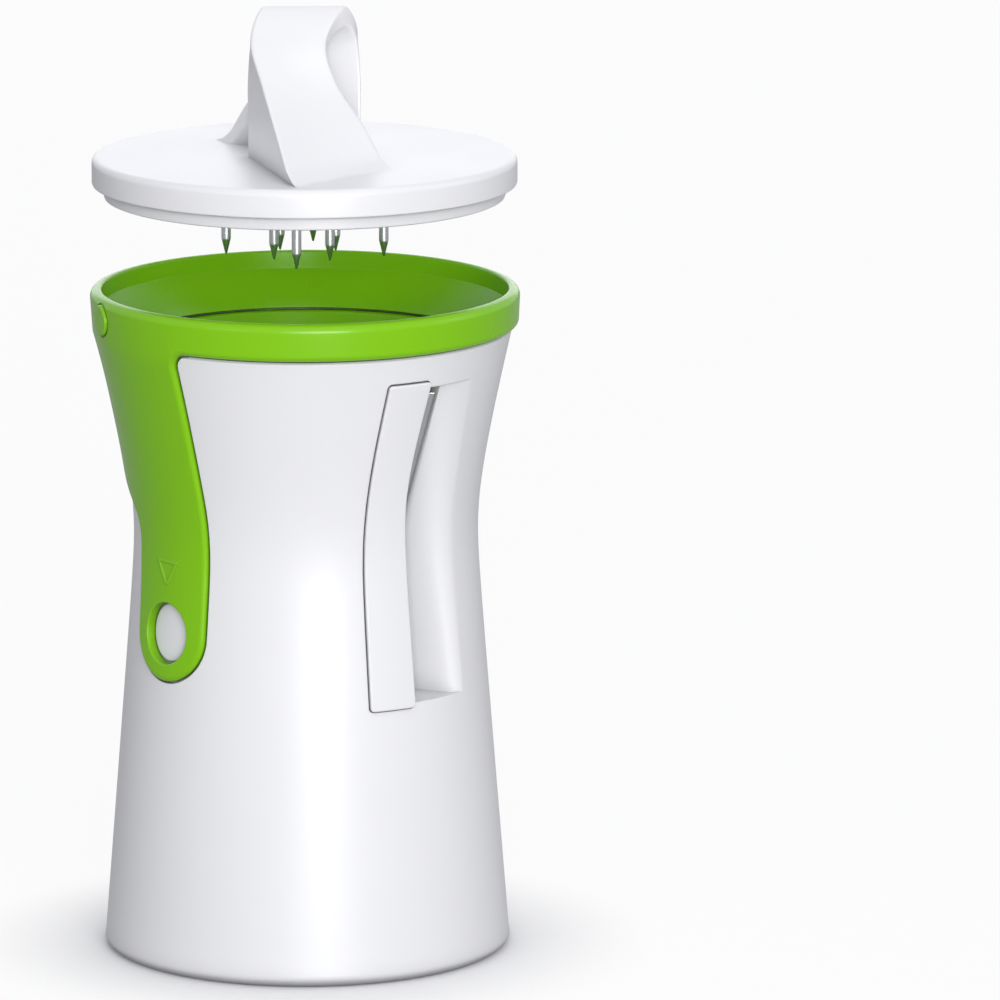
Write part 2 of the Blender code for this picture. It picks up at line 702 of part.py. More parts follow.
def comb_line(z):
    """How far out the comb's strip lies: just outside the cone's wall."""
    outer = cone_radius(z) + CONE_WALL_ACROSS
    return sqrt(outer ** 2 - (WINDOW_UPSTREAM - COMB_STRIP_WIDTH) ** 2) + GAP


def comb(name, side, pitch, material):
    """A steel strip with teeth that slit the vegetable before the blade lifts it."""
    low, high = WINDOW_BOTTOM + 2 * GAP, WINDOW_TOP - 2 * GAP
    left = GAP - WINDOW_UPSTREAM
    right = left + COMB_STRIP_WIDTH
    base_low, base_high = comb_line(low), comb_line(high)

    def base(z):
        return between(base_low, base_high, (z - low) / (high - low))

    rings = []
    for z in (low, high):
        d = base(z)
        outline = [(left, d), (right, d), (right, d + COMB_THICKNESS), (left, d + COMB_THICKNESS)]
        rings.append([side(u, out, z) for u, out in outline])
    strip = lofted(name, rings)
    rise = (high - low) / cos(CONE_SLOPE)
    count = int((rise - pitch * 0.5) / pitch)
    step = pitch * cos(CONE_SLOPE)
    start = between(low, high, 0.5) - step * (count - 1) / 2
    reach = CONE_WALL_ACROSS + GAP + TOOTH_REACH
    teeth = []
    for i in range(count):
        z = start + step * i
        rings = []
        for height in (z - COMB_THICKNESS / 2, z + COMB_THICKNESS / 2):
            root = base(height) + COMB_THICKNESS / 2
            tip = base(height) - reach
            outline = [(left, root), (left, between(root, tip, 0.25)), (right, tip), (right, root)]
            rings.append([side(u, out, height) for u, out in outline])
        teeth.append(lofted("tooth", rings))
    return finished(join(strip, together("teeth", teeth)), name, material)


def guard(name, side, material):
    """The fin over the blade with the inner web that carries the comb."""
    fin = sleeve("fin", lambda z: housing_radius(z) - GUARD_DEPTH,
                 lambda z: housing_radius(z) + GUARD_PROUD,
                 GUARD_BOTTOM - RIM_WALL, GUARD_TOP + RIM_WALL, 10)
    fin = keep_inside(fin, prism("edge", guard_outline(), WAIST_RADIUS / 3, FAR_OUT, out_of(side)))
    left = GAP - WINDOW_UPSTREAM
    right = left + WEB_THICKNESS
    rings = []
    for z in steps(WINDOW_BOTTOM + GAP, WINDOW_TOP - GAP, 8):
        inner = comb_line(z) + COMB_THICKNESS + GAP
        outer = sqrt(housing_radius(z) ** 2 - left ** 2) - GUARD_DEPTH / 2
        outline = [(left, inner), (right, inner), (right, outer), (left, outer)]
        rings.append([side(u, d, z) for u, d in outline])
    return finished(join(fin, lofted("web", rings)), name, material)


# The collar

def arm_outside(z):
    """The arm's outer face: proud of the housing, and flush with the band at its top."""
    share = (z - (BAND_BOTTOM - ARM_BLEND_HEIGHT)) / ARM_BLEND_HEIGHT
    share = min(max(share, 0.0), 1.0)
    return housing_radius(z) + between(ARM_PROUD, BAND_PROUD, share * share)


def collar(material):
    """The green band with its two spring arms, round holes and pointing marks."""
    rim_inside = RIM_RADIUS - RIM_WALL
    rim_top = RIM_HEIGHT - RIM_WALL / 2
    round_rim = arc((RIM_RADIUS - RIM_WALL / 2, rim_top), RIM_WALL / 2, RIM_WALL / 2, 0.0, pi, 6)
    skirt = [housing_radius(z) - HOUSING_WALL - GAP for z in (SKIRT_BOTTOM, BAND_BOTTOM)]
    lead_top = RIM_HEIGHT - RIM_STRAIGHT
    profile = [(BAND_LOWER_RADIUS - 0.3 * MM, BAND_BOTTOM), (BAND_LOWER_RADIUS, BAND_BOTTOM + 0.4 * MM)]
    profile += round_rim
    profile += [
        (rim_inside, lead_top),
        (skirt[1] - SKIRT_WALL, lead_top - LEAD_IN_HEIGHT),
        (skirt[0] - SKIRT_WALL, SKIRT_BOTTOM),
        (skirt[0], SKIRT_BOTTOM),
        (skirt[1], BAND_BOTTOM),
    ]
    band = turned("band", profile)

    arm_top = BAND_BOTTOM + 2 * GAP
    arm_bottom = ARM_HOLE_HEIGHT - ARM_END_LENGTH - RIM_WALL
    arms = sleeve("arms", lambda z: housing_radius(z) - ARM_DEPTH, arm_outside,
                  arm_bottom, BAND_BOTTOM + GAP, 11)
    outlines = [prism("arm", arm_outline(arm_top), WAIST_RADIUS / 3, FAR_OUT, place)
                for place in (left_arm, right_arm)]
    arms = keep_inside(arms, together("outlines", outlines))
    holes = [rod("hole", ARM_HOLE_RADIUS, (sign * WAIST_RADIUS / 3, 0, ARM_HOLE_HEIGHT),
                 (sign * FAR_OUT, 0, ARM_HOLE_HEIGHT), 2 * SMALL_SIDES) for sign in (-1, 1)]
    arms = cut(arms, together("holes", holes))
    band = join(band, arms)

    low, high = MARK_HEIGHT - MARK_WIDTH * 0.32, MARK_HEIGHT + MARK_WIDTH * 0.32
    marks = sleeve("marks", lambda z: arm_outside(z) - MARK_PROUD,
                   lambda z: arm_outside(z) + MARK_PROUD, low, high, 3)
    tip = MARK_LINE * 0.75
    triangle = [(-tip, low), (tip, low), (MARK_WIDTH / 2, high), (-MARK_WIDTH / 2, high)]
    frames = []
    for place in (left_arm, right_arm):
        frame = prism("frame", triangle, WAIST_RADIUS / 2, FAR_OUT, place)
        inner = prism("inner", grown(triangle, -MARK_LINE), WAIST_RADIUS / 3, 2 * FAR_OUT, place)
        frames.append(cut(frame, inner))
    band = join(band, keep_inside(marks, together("frames", frames)))

    pips = []
    pip_height = between(BAND_BOTTOM, RIM_HEIGHT, 0.45)
    for sign in (-1, 1):
        away = Vector((sign * cos(PIP_ANGLE), sin(PIP_ANGLE), 0))
        start = away * (RIM_RADIUS - RIM_WALL / 2) + Vector((0, 0, pip_height))
        end = away * (RIM_RADIUS + PIP_PROUD) + Vector((0, 0, pip_height))
        pips.append(rod("pip", PIP_RADIUS, start, end, 20))
    band = join(band, together("pips", pips))
    return finished(band, "collar", material)


# The cap, measured down from its top face

def handle_rings():
    """Cross-sections of the strap from the front foot over the bar to the rear foot."""
    half_bar = HANDLE_BAR_LENGTH / 2
    height = HANDLE_HEIGHT
    rails = {
        "crease": [(-2.7 * MM, HANDLE_FOOT_TIP, -HANDLE_SINK),
                   (-6.2 * MM, HANDLE_FOOT_TIP * 0.68, height * 0.27),
                   (-9.4 * MM, HANDLE_FOOT_TIP * 0.40, height * 0.54),
                   (-12.2 * MM, HANDLE_FOOT_TIP * 0.17, height * 0.80)],
        "side": [(HANDLE_FOOT_SIDE_X, HANDLE_FOOT_SIDE_Y, -HANDLE_SINK),
                 (HANDLE_FOOT_SIDE_X * 0.72, HANDLE_FOOT_SIDE_Y * 0.80, height * 0.26),
                 (HANDLE_FOOT_SIDE_X * 0.39, HANDLE_FOOT_SIDE_Y * 0.60, height * 0.53),
                 (HANDLE_FOOT_SIDE_X * 0.26, HANDLE_FOOT_SIDE_Y * 0.40, height * 0.79)],
        "side_inner": [(HANDLE_FOOT_SIDE_X - 2.2 * MM, HANDLE_FOOT_SIDE_Y - 4.2 * MM, -HANDLE_SINK),
                       (HANDLE_FOOT_SIDE_X * 0.65, HANDLE_FOOT_SIDE_Y * 0.56, height * 0.26),
                       (HANDLE_FOOT_SIDE_X * 0.38, HANDLE_FOOT_SIDE_Y * 0.36, height * 0.51),
                       (HANDLE_FOOT_SIDE_X * 0.28, HANDLE_FOOT_SIDE_Y * 0.19, height * 0.73)],
        "heel": [(-HANDLE_FOOT_HEEL_X, HANDLE_FOOT_HEEL_Y, -HANDLE_SINK),
                 (-HANDLE_FOOT_HEEL_X, HANDLE_FOOT_HEEL_Y * 1.2, height * 0.26),
                 (-HANDLE_FOOT_HEEL_X, HANDLE_FOOT_HEEL_Y * 1.5, height * 0.52),
                 (-HANDLE_FOOT_HEEL_X * 0.93, HANDLE_FOOT_HEEL_Y * 1.3, height * 0.76)],
    }
    bar = {
        "crease": (-half_bar, 0.0, height),
        "side": (half_bar, 0.0, height),
        "side_inner": (half_bar, 0.0, height - HANDLE_BAR_DEPTH),
        "heel": (-half_bar, 0.0, height - HANDLE_BAR_DEPTH),
    }
    partner = {"crease": "side", "side": "crease", "side_inner": "heel", "heel": "side_inner"}
    lines = []
    for name in ("crease", "side", "side_inner", "heel"):
        opposite = [(-x, -y, z) for x, y, z in reversed(rails[partner[name]])]
        lines.append(smooth_line(rails[name] + [bar[name]] + opposite, 3))
    return [rounded_ring([(x, -y, z) for x, y, z in corners]) for corners in zip(*lines)]


def rounded_ring(corners):
    """Four corners with each corner cut off, so the strap has soft edges."""
    ring = []
    corners = [Vector(corner) for corner in corners]
    for i, corner in enumerate(corners):
        for neighbour in (corners[i - 1], corners[(i + 1) % 4]):
            side = neighbour - corner
            ring.append(corner + side * min(0.25, 0.9 * MM / max(side.length, MM)))
    return ring


def cap(material):
    """The white disc with its twisted handle, one moulding, hollow underneath."""
    inside = CAP_RADIUS - CAP_WALL
    profile = [(0.0, 0.0)]
    profile += arc((CAP_RADIUS - CAP_EDGE_RADIUS, -CAP_EDGE_RADIUS), CAP_EDGE_RADIUS,
                   CAP_EDGE_RADIUS, pi / 2, 0.0, 4)
    profile += [(CAP_RADIUS, -CAP_DEPTH + 0.4 * MM), (CAP_RADIUS - 0.4 * MM, -CAP_DEPTH),
                (inside, -CAP_DEPTH), (inside, -CAP_WALL), (0.0, -CAP_WALL)]
    disc = turned("disc", profile)
    bosses = [rod("boss", BOSS_RADIUS, (x, y, -CAP_WALL * 0.7), (x, y, -plate_top() + GAP))
              for x, y in screw_places()]
    disc = join(disc, together("bosses", bosses))
    holes = [rod("hole", SCREW_RADIUS + PIN_PLAY, (x, y, -SCREW_END_DEPTH + GAP),
                 (x, y, -CAP_DEPTH)) for x, y in screw_places()]
    disc = cut(disc, together("holes", holes))
    strap = lofted("strap", handle_rings())
    strap.data.transform(Matrix.Rotation(HANDLE_TURN, 4, "Z"))
    disc = join(disc, strap)
    return finished(disc, "cap", material)


def plate_top():
    """Depth of the prong plate's upper face below the cap's top face."""
    return CAP_DEPTH + GUIDE_PROUD - PLATE_RECESS - PLATE_THICKNESS


def screw_places():
    return [(PLATE_SCREW_CIRCLE * cos(2 * pi * i / PLATE_SCREW_COUNT),
             PLATE_SCREW_CIRCLE * sin(2 * pi * i / PLATE_SCREW_COUNT))
            for i in range(PLATE_SCREW_COUNT)]


def prong_places():
    places = []
    for ring, radius in enumerate(PRONG_RINGS):
        for i in range(PRONG_RING_COUNT):
            angle = 2 * pi * (i + 0.5 * ring) / PRONG_RING_COUNT
            places.append((radius * cos(angle), radius * sin(angle)))
    return places


def cap_guide_ring(material):
    """The stepped ring under the disc: it drops into the collar and is held by the plate."""
    outside = CAP_RADIUS - CAP_WALL - GAP
    inside = outside - GUIDE_WALL
    top = -CAP_WALL - GAP
    bottom = -CAP_DEPTH - GUIDE_PROUD
    flange = -plate_top() + GAP
    chamfer = 0.4 * MM
    ring = turned("ring", [
        (outside, top), (inside - GUIDE_FLANGE_WIDTH, top), (inside - GUIDE_FLANGE_WIDTH, flange),
        (inside, flange), (inside, bottom + chamfer), (inside + chamfer, bottom),
        (outside - chamfer, bottom), (outside, bottom + chamfer),
    ])
    return finished(ring, "cap_guide_ring", material)


def prong_plate(material):
    """The round plate that closes the cap and holds the prongs."""
    top = -plate_top()
    bottom = top - PLATE_THICKNESS
    plate = turned("plate", [(0.0, top), (PLATE_RADIUS, top), (PLATE_RADIUS, bottom), (0.0, bottom)])
    holes = [rod("hole", PRONG_RADIUS + PIN_PLAY, (x, y, 0), (x, y, bottom - MM), 12)
             for x, y in prong_places()]
    holes += [rod("hole", SCREW_RADIUS + PIN_PLAY, (x, y, 0), (x, y, bottom - MM), 12)
              for x, y in screw_places()]
    return finished(cut(plate, together("holes", holes)), "prong_plate", material)


def prong(name, x, y, material):
    """A steel pin whose head is trapped between the plate and the cap."""
    top = -plate_top() + GAP
    head_top = top + PRONG_HEAD_HEIGHT
    end = -plate_top() - PLATE_THICKNESS - PRONG_LENGTH
    pin = turned(name, [
        (0.0, head_top), (PRONG_HEAD_RADIUS, head_top), (PRONG_HEAD_RADIUS, top),
        (PRONG_RADIUS, top), (PRONG_RADIUS, end + PRONG_POINT), (0.0, end),
    ], 12)
    pin.location = (x, y, 0)
    return finished(pin, name, material)


def plate_screw(name, x, y, material):
    """A pan-head screw that holds the plate to a boss of the cap."""
    under = -plate_top() - PLATE_THICKNESS - GAP
    bottom = under - SCREW_HEAD_HEIGHT
    recess = SCREW_RADIUS * 0.8
    screw = turned(name, [
        (0.0, -SCREW_END_DEPTH), (SCREW_RADIUS * 0.6, -SCREW_END_DEPTH),
        (SCREW_RADIUS, -SCREW_END_DEPTH - 0.6 * MM), (SCREW_RADIUS, under),
        (SCREW_HEAD_RADIUS, under), (SCREW_HEAD_RADIUS, under - SCREW_HEAD_HEIGHT * 0.5),
        (SCREW_HEAD_RADIUS * 0.7, bottom), (recess, bottom),
        (recess, between(under, bottom, 0.4)), (0.0, between(under, bottom, 0.4)),
    ], 12)
    screw.location = (x, y, 0)
    return finished(screw, name, material)


def axis_empty(name, parent):
    empty = bpy.data.objects.new(name, None)
    empty.parent = parent
    bpy.context.scene.collection.objects.link(empty)
    return empty


def build():
    clear_scene()
    white = plastic("white_plastic", (0.86, 0.86, 0.88), 0.28)
    green = plastic("green_plastic", (0.20, 0.50, 0.035), 0.30)
    bright = steel("blade_steel", (0.62, 0.63, 0.65), 0.22)
    zinc = steel("screw_steel", (0.50, 0.51, 0.53), 0.35)

    outer_body(white)
    collar(green)
    funnel(green)
    for word, side in SIDES.items():
        pitch = THICK_STRAND if word == "front" else THIN_STRAND
        blade(f"{word}_blade", side, bright)
        comb(f"{word}_comb", side, pitch, bright)
        guard(f"{word}_guard", side, white)

    lift = axis_empty("cap_lift_axis", None)
    lift.location = (0, 0, CAP_TOP)
    turn = axis_empty("cap_turn_axis", lift)
    cap_guide_ring(white).parent = lift
    cap(white).parent = turn
    prong_plate(white).parent = turn
    for i, (x, y) in enumerate(prong_places(), 1):
        prong(f"prong_{i}", x, y, bright).parent = turn
    for i, (x, y) in enumerate(screw_places(), 1):
        plate_screw(f"plate_screw_{i}", x, y, zinc).parent = turn


build()
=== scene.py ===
# %% [markdown]
# # A hand spiralizer, dressed for the camera
# The tool has a white hourglass housing, a green clip-on collar with two spring arms, a
# green cutting cone with steel blades behind two windows, and a white cap with a twisted
# handle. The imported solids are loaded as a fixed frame. The mouldings, prongs and screws get
# a finer piece that lies exactly where its solid lies; the blades and combs keep theirs.

# %% Load the frame and keep its box
import json
from math import asin, atan, atan2, cos, hypot, pi, radians, sin, sqrt, tan

import bmesh
import bpy
from mathutils import Matrix, Vector

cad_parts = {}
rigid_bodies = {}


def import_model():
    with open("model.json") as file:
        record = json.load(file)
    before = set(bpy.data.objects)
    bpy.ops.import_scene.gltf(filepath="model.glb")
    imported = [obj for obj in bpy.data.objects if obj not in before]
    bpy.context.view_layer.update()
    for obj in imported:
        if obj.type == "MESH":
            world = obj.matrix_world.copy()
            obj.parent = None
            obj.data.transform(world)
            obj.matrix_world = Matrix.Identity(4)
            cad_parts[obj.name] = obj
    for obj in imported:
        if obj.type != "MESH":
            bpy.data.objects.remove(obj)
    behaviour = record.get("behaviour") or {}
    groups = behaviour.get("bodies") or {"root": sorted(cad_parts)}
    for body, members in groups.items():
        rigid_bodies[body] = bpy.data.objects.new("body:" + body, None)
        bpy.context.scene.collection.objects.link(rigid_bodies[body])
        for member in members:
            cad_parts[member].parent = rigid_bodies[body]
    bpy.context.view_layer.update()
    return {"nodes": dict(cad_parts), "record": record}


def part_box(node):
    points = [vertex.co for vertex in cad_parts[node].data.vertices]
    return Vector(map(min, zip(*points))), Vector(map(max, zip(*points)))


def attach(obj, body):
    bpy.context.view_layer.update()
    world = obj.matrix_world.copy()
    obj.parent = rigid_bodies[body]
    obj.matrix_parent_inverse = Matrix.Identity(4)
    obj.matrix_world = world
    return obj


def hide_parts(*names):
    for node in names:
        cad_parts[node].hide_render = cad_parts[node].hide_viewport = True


for leftover in list(bpy.data.objects):
    bpy.data.objects.remove(leftover, do_unlink=True)
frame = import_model()
MM = 0.001

# %% [markdown]
# ## The camera
# The photo is a long-lens product shot from slightly above. A perspective view is found by
# matching three things: how round the cap and the base look gives the height of the eye,
# how much more open the base looks than the cap gives the distance, and the width of the
# collar then gives the lens. The principal point stays in the middle, so nothing is shifted.

# %% Place the camera
EYE_DISTANCE = 2.233
EYE_HEIGHT = 0.561
EYE_AZIMUTH = radians(-39)
FOCAL_PIXELS = 9978
PICTURE_PIXELS = 1000
BASE_PIXELS_LOW = 438
AXIS_TURN = radians(1.1374)
SENSOR_WIDTH = 36


def add_camera():
    camera = bpy.data.objects.new("camera", bpy.data.cameras.new("camera"))
    bpy.context.scene.collection.objects.link(camera)
    camera.location = (sin(EYE_AZIMUTH) * EYE_DISTANCE, -cos(EYE_AZIMUTH) * EYE_DISTANCE,
                       EYE_HEIGHT)
    pitch = atan2(EYE_HEIGHT, EYE_DISTANCE) - atan(BASE_PIXELS_LOW / FOCAL_PIXELS)
    heading = atan2(-camera.location.y, -camera.location.x) - AXIS_TURN
    camera.rotation_euler = (pi / 2 - pitch, 0, heading - pi / 2)
    camera.data.sensor_width = SENSOR_WIDTH
    camera.data.lens = SENSOR_WIDTH * FOCAL_PIXELS / PICTURE_PIXELS
    camera.data.clip_end = 50
    bpy.context.scene.camera = camera
    return camera


camera = add_camera()
print("camera looks down", round(90 - camera.rotation_euler.x * 180 / pi, 2), "degrees")

# %% [markdown]
# ## Floor, backdrop and light
# The photo has a white ground with a soft grey shade around the base. A shadow catcher could
# give that, but only with a composite afterwards. A floor that only reflects light is never
# quite white, so for the camera it mixes a matt surface, which takes the shade, with plain
# white. The share of white falls close to a piece, so the shade stays there. Mirrored and
# see-through rays get a little white too, and light that bounces sees a darker grey.
# The strongest soft box stands low beside the camera, and weaker ones hang high, left,
# right, on top and behind. A small card shows only in the gloss, and the world is brighter
# in reflections than as light, like the white room around a product table.

# %% Helpers for shader nodes


def fill_sockets(node, values):
    """Gives the named inputs a value each, or a link where the value is a socket."""
    for title, value in values.items():
        if isinstance(value, bpy.types.NodeSocket):
            node.id_data.links.new(value, node.inputs[title])
        else:
            node.inputs[title].default_value = value
    return node


def new_node(nodes, kind, values):
    return fill_sockets(nodes.new(kind), values)


def math_node(nodes, operation, first, second):
    node = nodes.new("ShaderNodeMath")
    node.operation = operation
    return fill_sockets(node, {0: first, 1: second}).outputs[0]


def mapped(nodes, value, source, target):
    """The value, moved from one range to another."""
    return new_node(nodes, "ShaderNodeMapRange", {
        "Value": value, "From Min": source[0], "From Max": source[1],
        "To Min": target[0], "To Max": target[1]}).outputs["Result"]


def mixed_colour(nodes, share, first, second):
    node = nodes.new("ShaderNodeMix")
    node.data_type = "RGBA"
    fill_sockets(node, {"Factor": share, "A": (*first, 1), "B": (*second, 1)})
    return node.outputs["Result"]


def scaled_colour(nodes, colour, scale):
    node = nodes.new("ShaderNodeVectorMath")
    node.operation = "SCALE"
    return fill_sockets(node, {0: colour, "Scale": scale}).outputs[0]


def openness(nodes, reach, samples):
    """How open a point is: 1 on a free face and less in a hollow."""
    node = new_node(nodes, "ShaderNodeAmbientOcclusion", {"Distance": reach})
    node.samples = samples
    return node.outputs["AO"]


def material_with_nodes(name):
    material = bpy.data.materials.new(name)
    material.use_nodes = True
    return material, material.node_tree.nodes


print("shader helpers are ready")

# %% Make the floor and the backdrop
FLOOR_SIZE = 14
FLOOR_DROP = 0.05 * MM
FLOOR_COLOUR = (0.94, 0.94, 0.95)
FLOOR_BOUNCE = (0.34, 0.34, 0.35)
OPEN_WHITE_SHARE = 0.9
CLOSE_WHITE_SHARE = 0.05
MIRROR_SHARE = 0.25
SHADE_REACH = 35 * MM
SHADE_START = 0.6


def ground_material(name):
    """Matt for the light, plain white for the camera, and less of the white close to a piece."""
    material, nodes = material_with_nodes(name)
    nodes.remove(nodes["Principled BSDF"])
    path = nodes.new("ShaderNodeLightPath").outputs
    colour = mixed_colour(nodes, path["Is Camera Ray"], FLOOR_BOUNCE, FLOOR_COLOUR)
    matt = new_node(nodes, "ShaderNodeBsdfDiffuse", {"Color": colour})
    white = new_node(nodes, "ShaderNodeEmission", {"Strength": 1})
    # Less white close to a piece: a painted shade on the floor around the tool, on top of the real
    # shadow that the matt part takes.
    share = mapped(nodes, openness(nodes, SHADE_REACH, 16), (SHADE_START, 1),
                   (CLOSE_WHITE_SHARE, OPEN_WHITE_SHARE))
    seen = math_node(nodes, "MULTIPLY", share, path["Is Camera Ray"])
    mirrored = math_node(nodes, "ADD", path["Is Glossy Ray"], path["Is Transmission Ray"])
    mirrored = math_node(nodes, "MULTIPLY", mirrored, MIRROR_SHARE)
    mix = new_node(nodes, "ShaderNodeMixShader", {
        0: math_node(nodes, "ADD", seen, mirrored), 1: matt.outputs[0], 2: white.outputs[0]})
    fill_sockets(nodes["Material Output"], {"Surface": mix.outputs[0]})
    return material


def add_stage():
    bpy.ops.mesh.primitive_plane_add(size=FLOOR_SIZE, location=(0, 0, -FLOOR_DROP))
    floor = bpy.context.object
    floor.name = "floor"
    floor.data.materials.append(ground_material("floor_white"))
    return floor


floor = add_stage()
print("floor", tuple(round(x, 2) for x in floor.dimensions))

# %% Hang the lights: place, size in metres and power in watts
LIGHTS = {
    "front_box": ((-1.18, -1.97, 0.5), 1.1, 36.0),
    "high_box": ((-0.5, -0.95, 1.45), 1.0, 2.5),
    "left_box": ((-2.6, -0.5, 0.9), 1.0, 4.0),
    "right_box": ((1.9, -1.5, 1.0), 1.2, 5.0),
    "top_box": ((0.5, 0.6, 2.1), 1.4, 6.0),
    "rear_box": ((1.45, 1.8, 0.95), 1.8, 9.0),
}
GLOSS_CARD = ((-0.45, -0.89, 0.2), 0.4, 2.0)
AIM = Vector((0, 0, 0.1))
WORLD_COLOUR = (0.93, 0.94, 1, 1)
WORLD_STRENGTH = 0.42
WORLD_IN_GLOSS = 1.0


def hang_light(name, place, size, power):
    data = bpy.data.lights.new(name, "AREA")
    data.shape = "SQUARE"
    data.size = size
    data.energy = power
    light = bpy.data.objects.new(name, data)
    light.location = place
    light.rotation_euler = (AIM - Vector(place)).to_track_quat("-Z", "Y").to_euler()
    bpy.context.scene.collection.objects.link(light)
    return light


def add_lights():
    for name, values in LIGHTS.items():
        hang_light(name, *values)
    hang_light("low_card", *GLOSS_CARD).visible_diffuse = False
    world = bpy.data.worlds.new("studio")
    bpy.context.scene.world = world
    world.use_nodes = True
    nodes = world.node_tree.nodes
    path = nodes.new("ShaderNodeLightPath")
    strength = mapped(nodes, path.outputs["Is Glossy Ray"], (0, 1),
                      (WORLD_STRENGTH, WORLD_IN_GLOSS))
    fill_sockets(nodes["Background"], {"Color": WORLD_COLOUR, "Strength": strength})


add_lights()
bpy.context.scene.view_settings.view_transform = "Standard"
print("lights:", ", ".join(LIGHTS))

# %% [markdown]
# ## Finishes that more than one material uses
# Injection-moulded plastic is never perfectly even: the mould leaves a very fine skin, the
# colour drifts a little where the melt flowed, and handling leaves faint rubbed patches.
# These three go into one node group with its strengths as inputs, and every plastic uses it
# with its own values. Moulded edges are slightly round, so a second group gives a normal
# that rounds them and a mask that is bright along them; the plastics lift their colour by
# it, a painted highlight. Its third output falls in hollows such as grooves and gaps, where
# little light comes in, and the plastics darken their colour by it: a painted shade.

# %% Group: moulded skin
FLOW_SCALE = 28.0
RUB_SCALE = 75.0
SCRATCH_STRETCH = (900, 900, 60)
SCRATCH_TURN = (0.5, 0.3, 0.2)
SCRATCH_SHARE = 0.6
SKIN_SCALE = 2600.0
FLOW_HEIGHT = 6.0
VALUE, NORMAL = "NodeSocketFloat", "NodeSocketVector"


def group_with(name, inputs, outputs):
    """An empty node group; inputs are titles with values, outputs titles with kinds."""
    group = bpy.data.node_groups.new(name, "ShaderNodeTree")
    for title, value in inputs.items():
        socket = group.interface.new_socket(title, in_out="INPUT", socket_type=VALUE)
        socket.default_value = value
    for title, kind in outputs.items():
        group.interface.new_socket(title, in_out="OUTPUT", socket_type=kind)
    return group, group.nodes.new("NodeGroupInput"), group.nodes.new("NodeGroupOutput")


def noise_node(nodes, place, scale, detail, roughness=0.5):
    return new_node(nodes, "ShaderNodeTexNoise", {
        "Vector": place, "Scale": scale, "Detail": detail,
        "Roughness": roughness}).outputs["Fac"]


def stretched(nodes, place, scale, turn=(0, 0, 0)):
    return new_node(nodes, "ShaderNodeMapping", {
        "Vector": place, "Scale": scale, "Rotation": turn}).outputs[0]


def moulded_skin_group():
    """Value to multiply the colour by, roughness, and height of the fine skin."""
    group, enter, leave = group_with(
        "moulded_skin", {"Roughness": 0.3, "Rubbing": 0.05, "Flow": 0.02},
        {"Shade": VALUE, "Roughness": VALUE, "Height": VALUE})
    nodes = group.nodes
    place = nodes.new("ShaderNodeTexCoord").outputs["Object"]
    flow = noise_node(nodes, place, FLOW_SCALE, 3.0)
    rubbed = noise_node(nodes, place, RUB_SCALE, 5.0, 0.6)
    scratches = noise_node(nodes, stretched(nodes, place, SCRATCH_STRETCH, SCRATCH_TURN), 1.0, 2.0)
    skin = noise_node(nodes, place, SKIN_SCALE, 2.0)
    from_middle = [math_node(nodes, "SUBTRACT", mask, 0.5) for mask in (flow, rubbed, scratches)]
    drift = math_node(nodes, "MULTIPLY", from_middle[0], enter.outputs["Flow"])
    scratched = math_node(nodes, "MULTIPLY", from_middle[2], SCRATCH_SHARE)
    wear = math_node(nodes, "ADD", from_middle[1], scratched)
    spread = math_node(nodes, "MULTIPLY", wear, enter.outputs["Rubbing"])
    waves = math_node(nodes, "MULTIPLY", flow, FLOW_HEIGHT)
    fill_sockets(leave, {
        "Shade": math_node(nodes, "ADD", drift, 1.0),
        "Roughness": math_node(nodes, "ADD", spread, enter.outputs["Roughness"]),
        "Height": math_node(nodes, "ADD", skin, waves)})
    return group


moulded_skin = moulded_skin_group()
print("group", moulded_skin.name, len(moulded_skin.nodes), "nodes")

# %% Group: soft edges
SOFT_RADIUS = 0.35 * MM
HOLLOW_REACH = 8.0 * MM
HOLLOW_SHADE = 0.4


def soft_edge_group():
    """A normal that rounds sharp edges, a mask of them, and one that is low in hollows."""
    group, _, leave = group_with(
        "soft_edges", {}, {"Normal": NORMAL, "Edge": VALUE, "Painted_Shade": VALUE})
    nodes = group.nodes
    rounding = new_node(nodes, "ShaderNodeBevel", {"Radius": SOFT_RADIUS})
    rounding.samples = 6
    match = nodes.new("ShaderNodeVectorMath")
    match.operation = "DOT_PRODUCT"
    fill_sockets(match, {0: rounding.outputs["Normal"],
                         1: nodes.new("ShaderNodeNewGeometry").outputs["Normal"]})
    turn = math_node(nodes, "SUBTRACT", 1.0, match.outputs["Value"])
    fill_sockets(leave, {
        "Normal": rounding.outputs["Normal"],
        "Edge": mapped(nodes, turn, (0.01, 0.2), (0, 1)),
        # The hollow mask is a painted shade: the plastics multiply their colour by it.
        "Painted_Shade": mapped(nodes, openness(nodes, HOLLOW_REACH, 6), (0.1, 0.85), (HOLLOW_SHADE, 1))})
    return group


soft_edges = soft_edge_group()
print("group", soft_edges.name, len(soft_edges.nodes), "nodes")

# %% [markdown]
# ## White and green plastic
# Both mouldings are polypropylene-like: satin gloss with a soft broad highlight. Along
# edges and rims the edge mask lifts the colour a little, a painted highlight, more on the
# green than on the white, and the hollow mask darkens it in grooves and gaps, a painted
# shade. Each could have a tree of its own, but one function with the values as arguments
# keeps them alike.

# %% Plastic materials
PLASTIC_IOR = 1.49
RUBBING = 0.10
FINE_DEPTH = 0.004 * MM


def group_node(nodes, group, values):
    node = nodes.new("ShaderNodeGroup")
    node.node_tree = group
    return fill_sockets(node, values).outputs


def bumped(nodes, height, strength, normal):
    return new_node(nodes, "ShaderNodeBump", {
        "Strength": strength, "Distance": FINE_DEPTH, "Height": height,
        "Normal": normal}).outputs["Normal"]


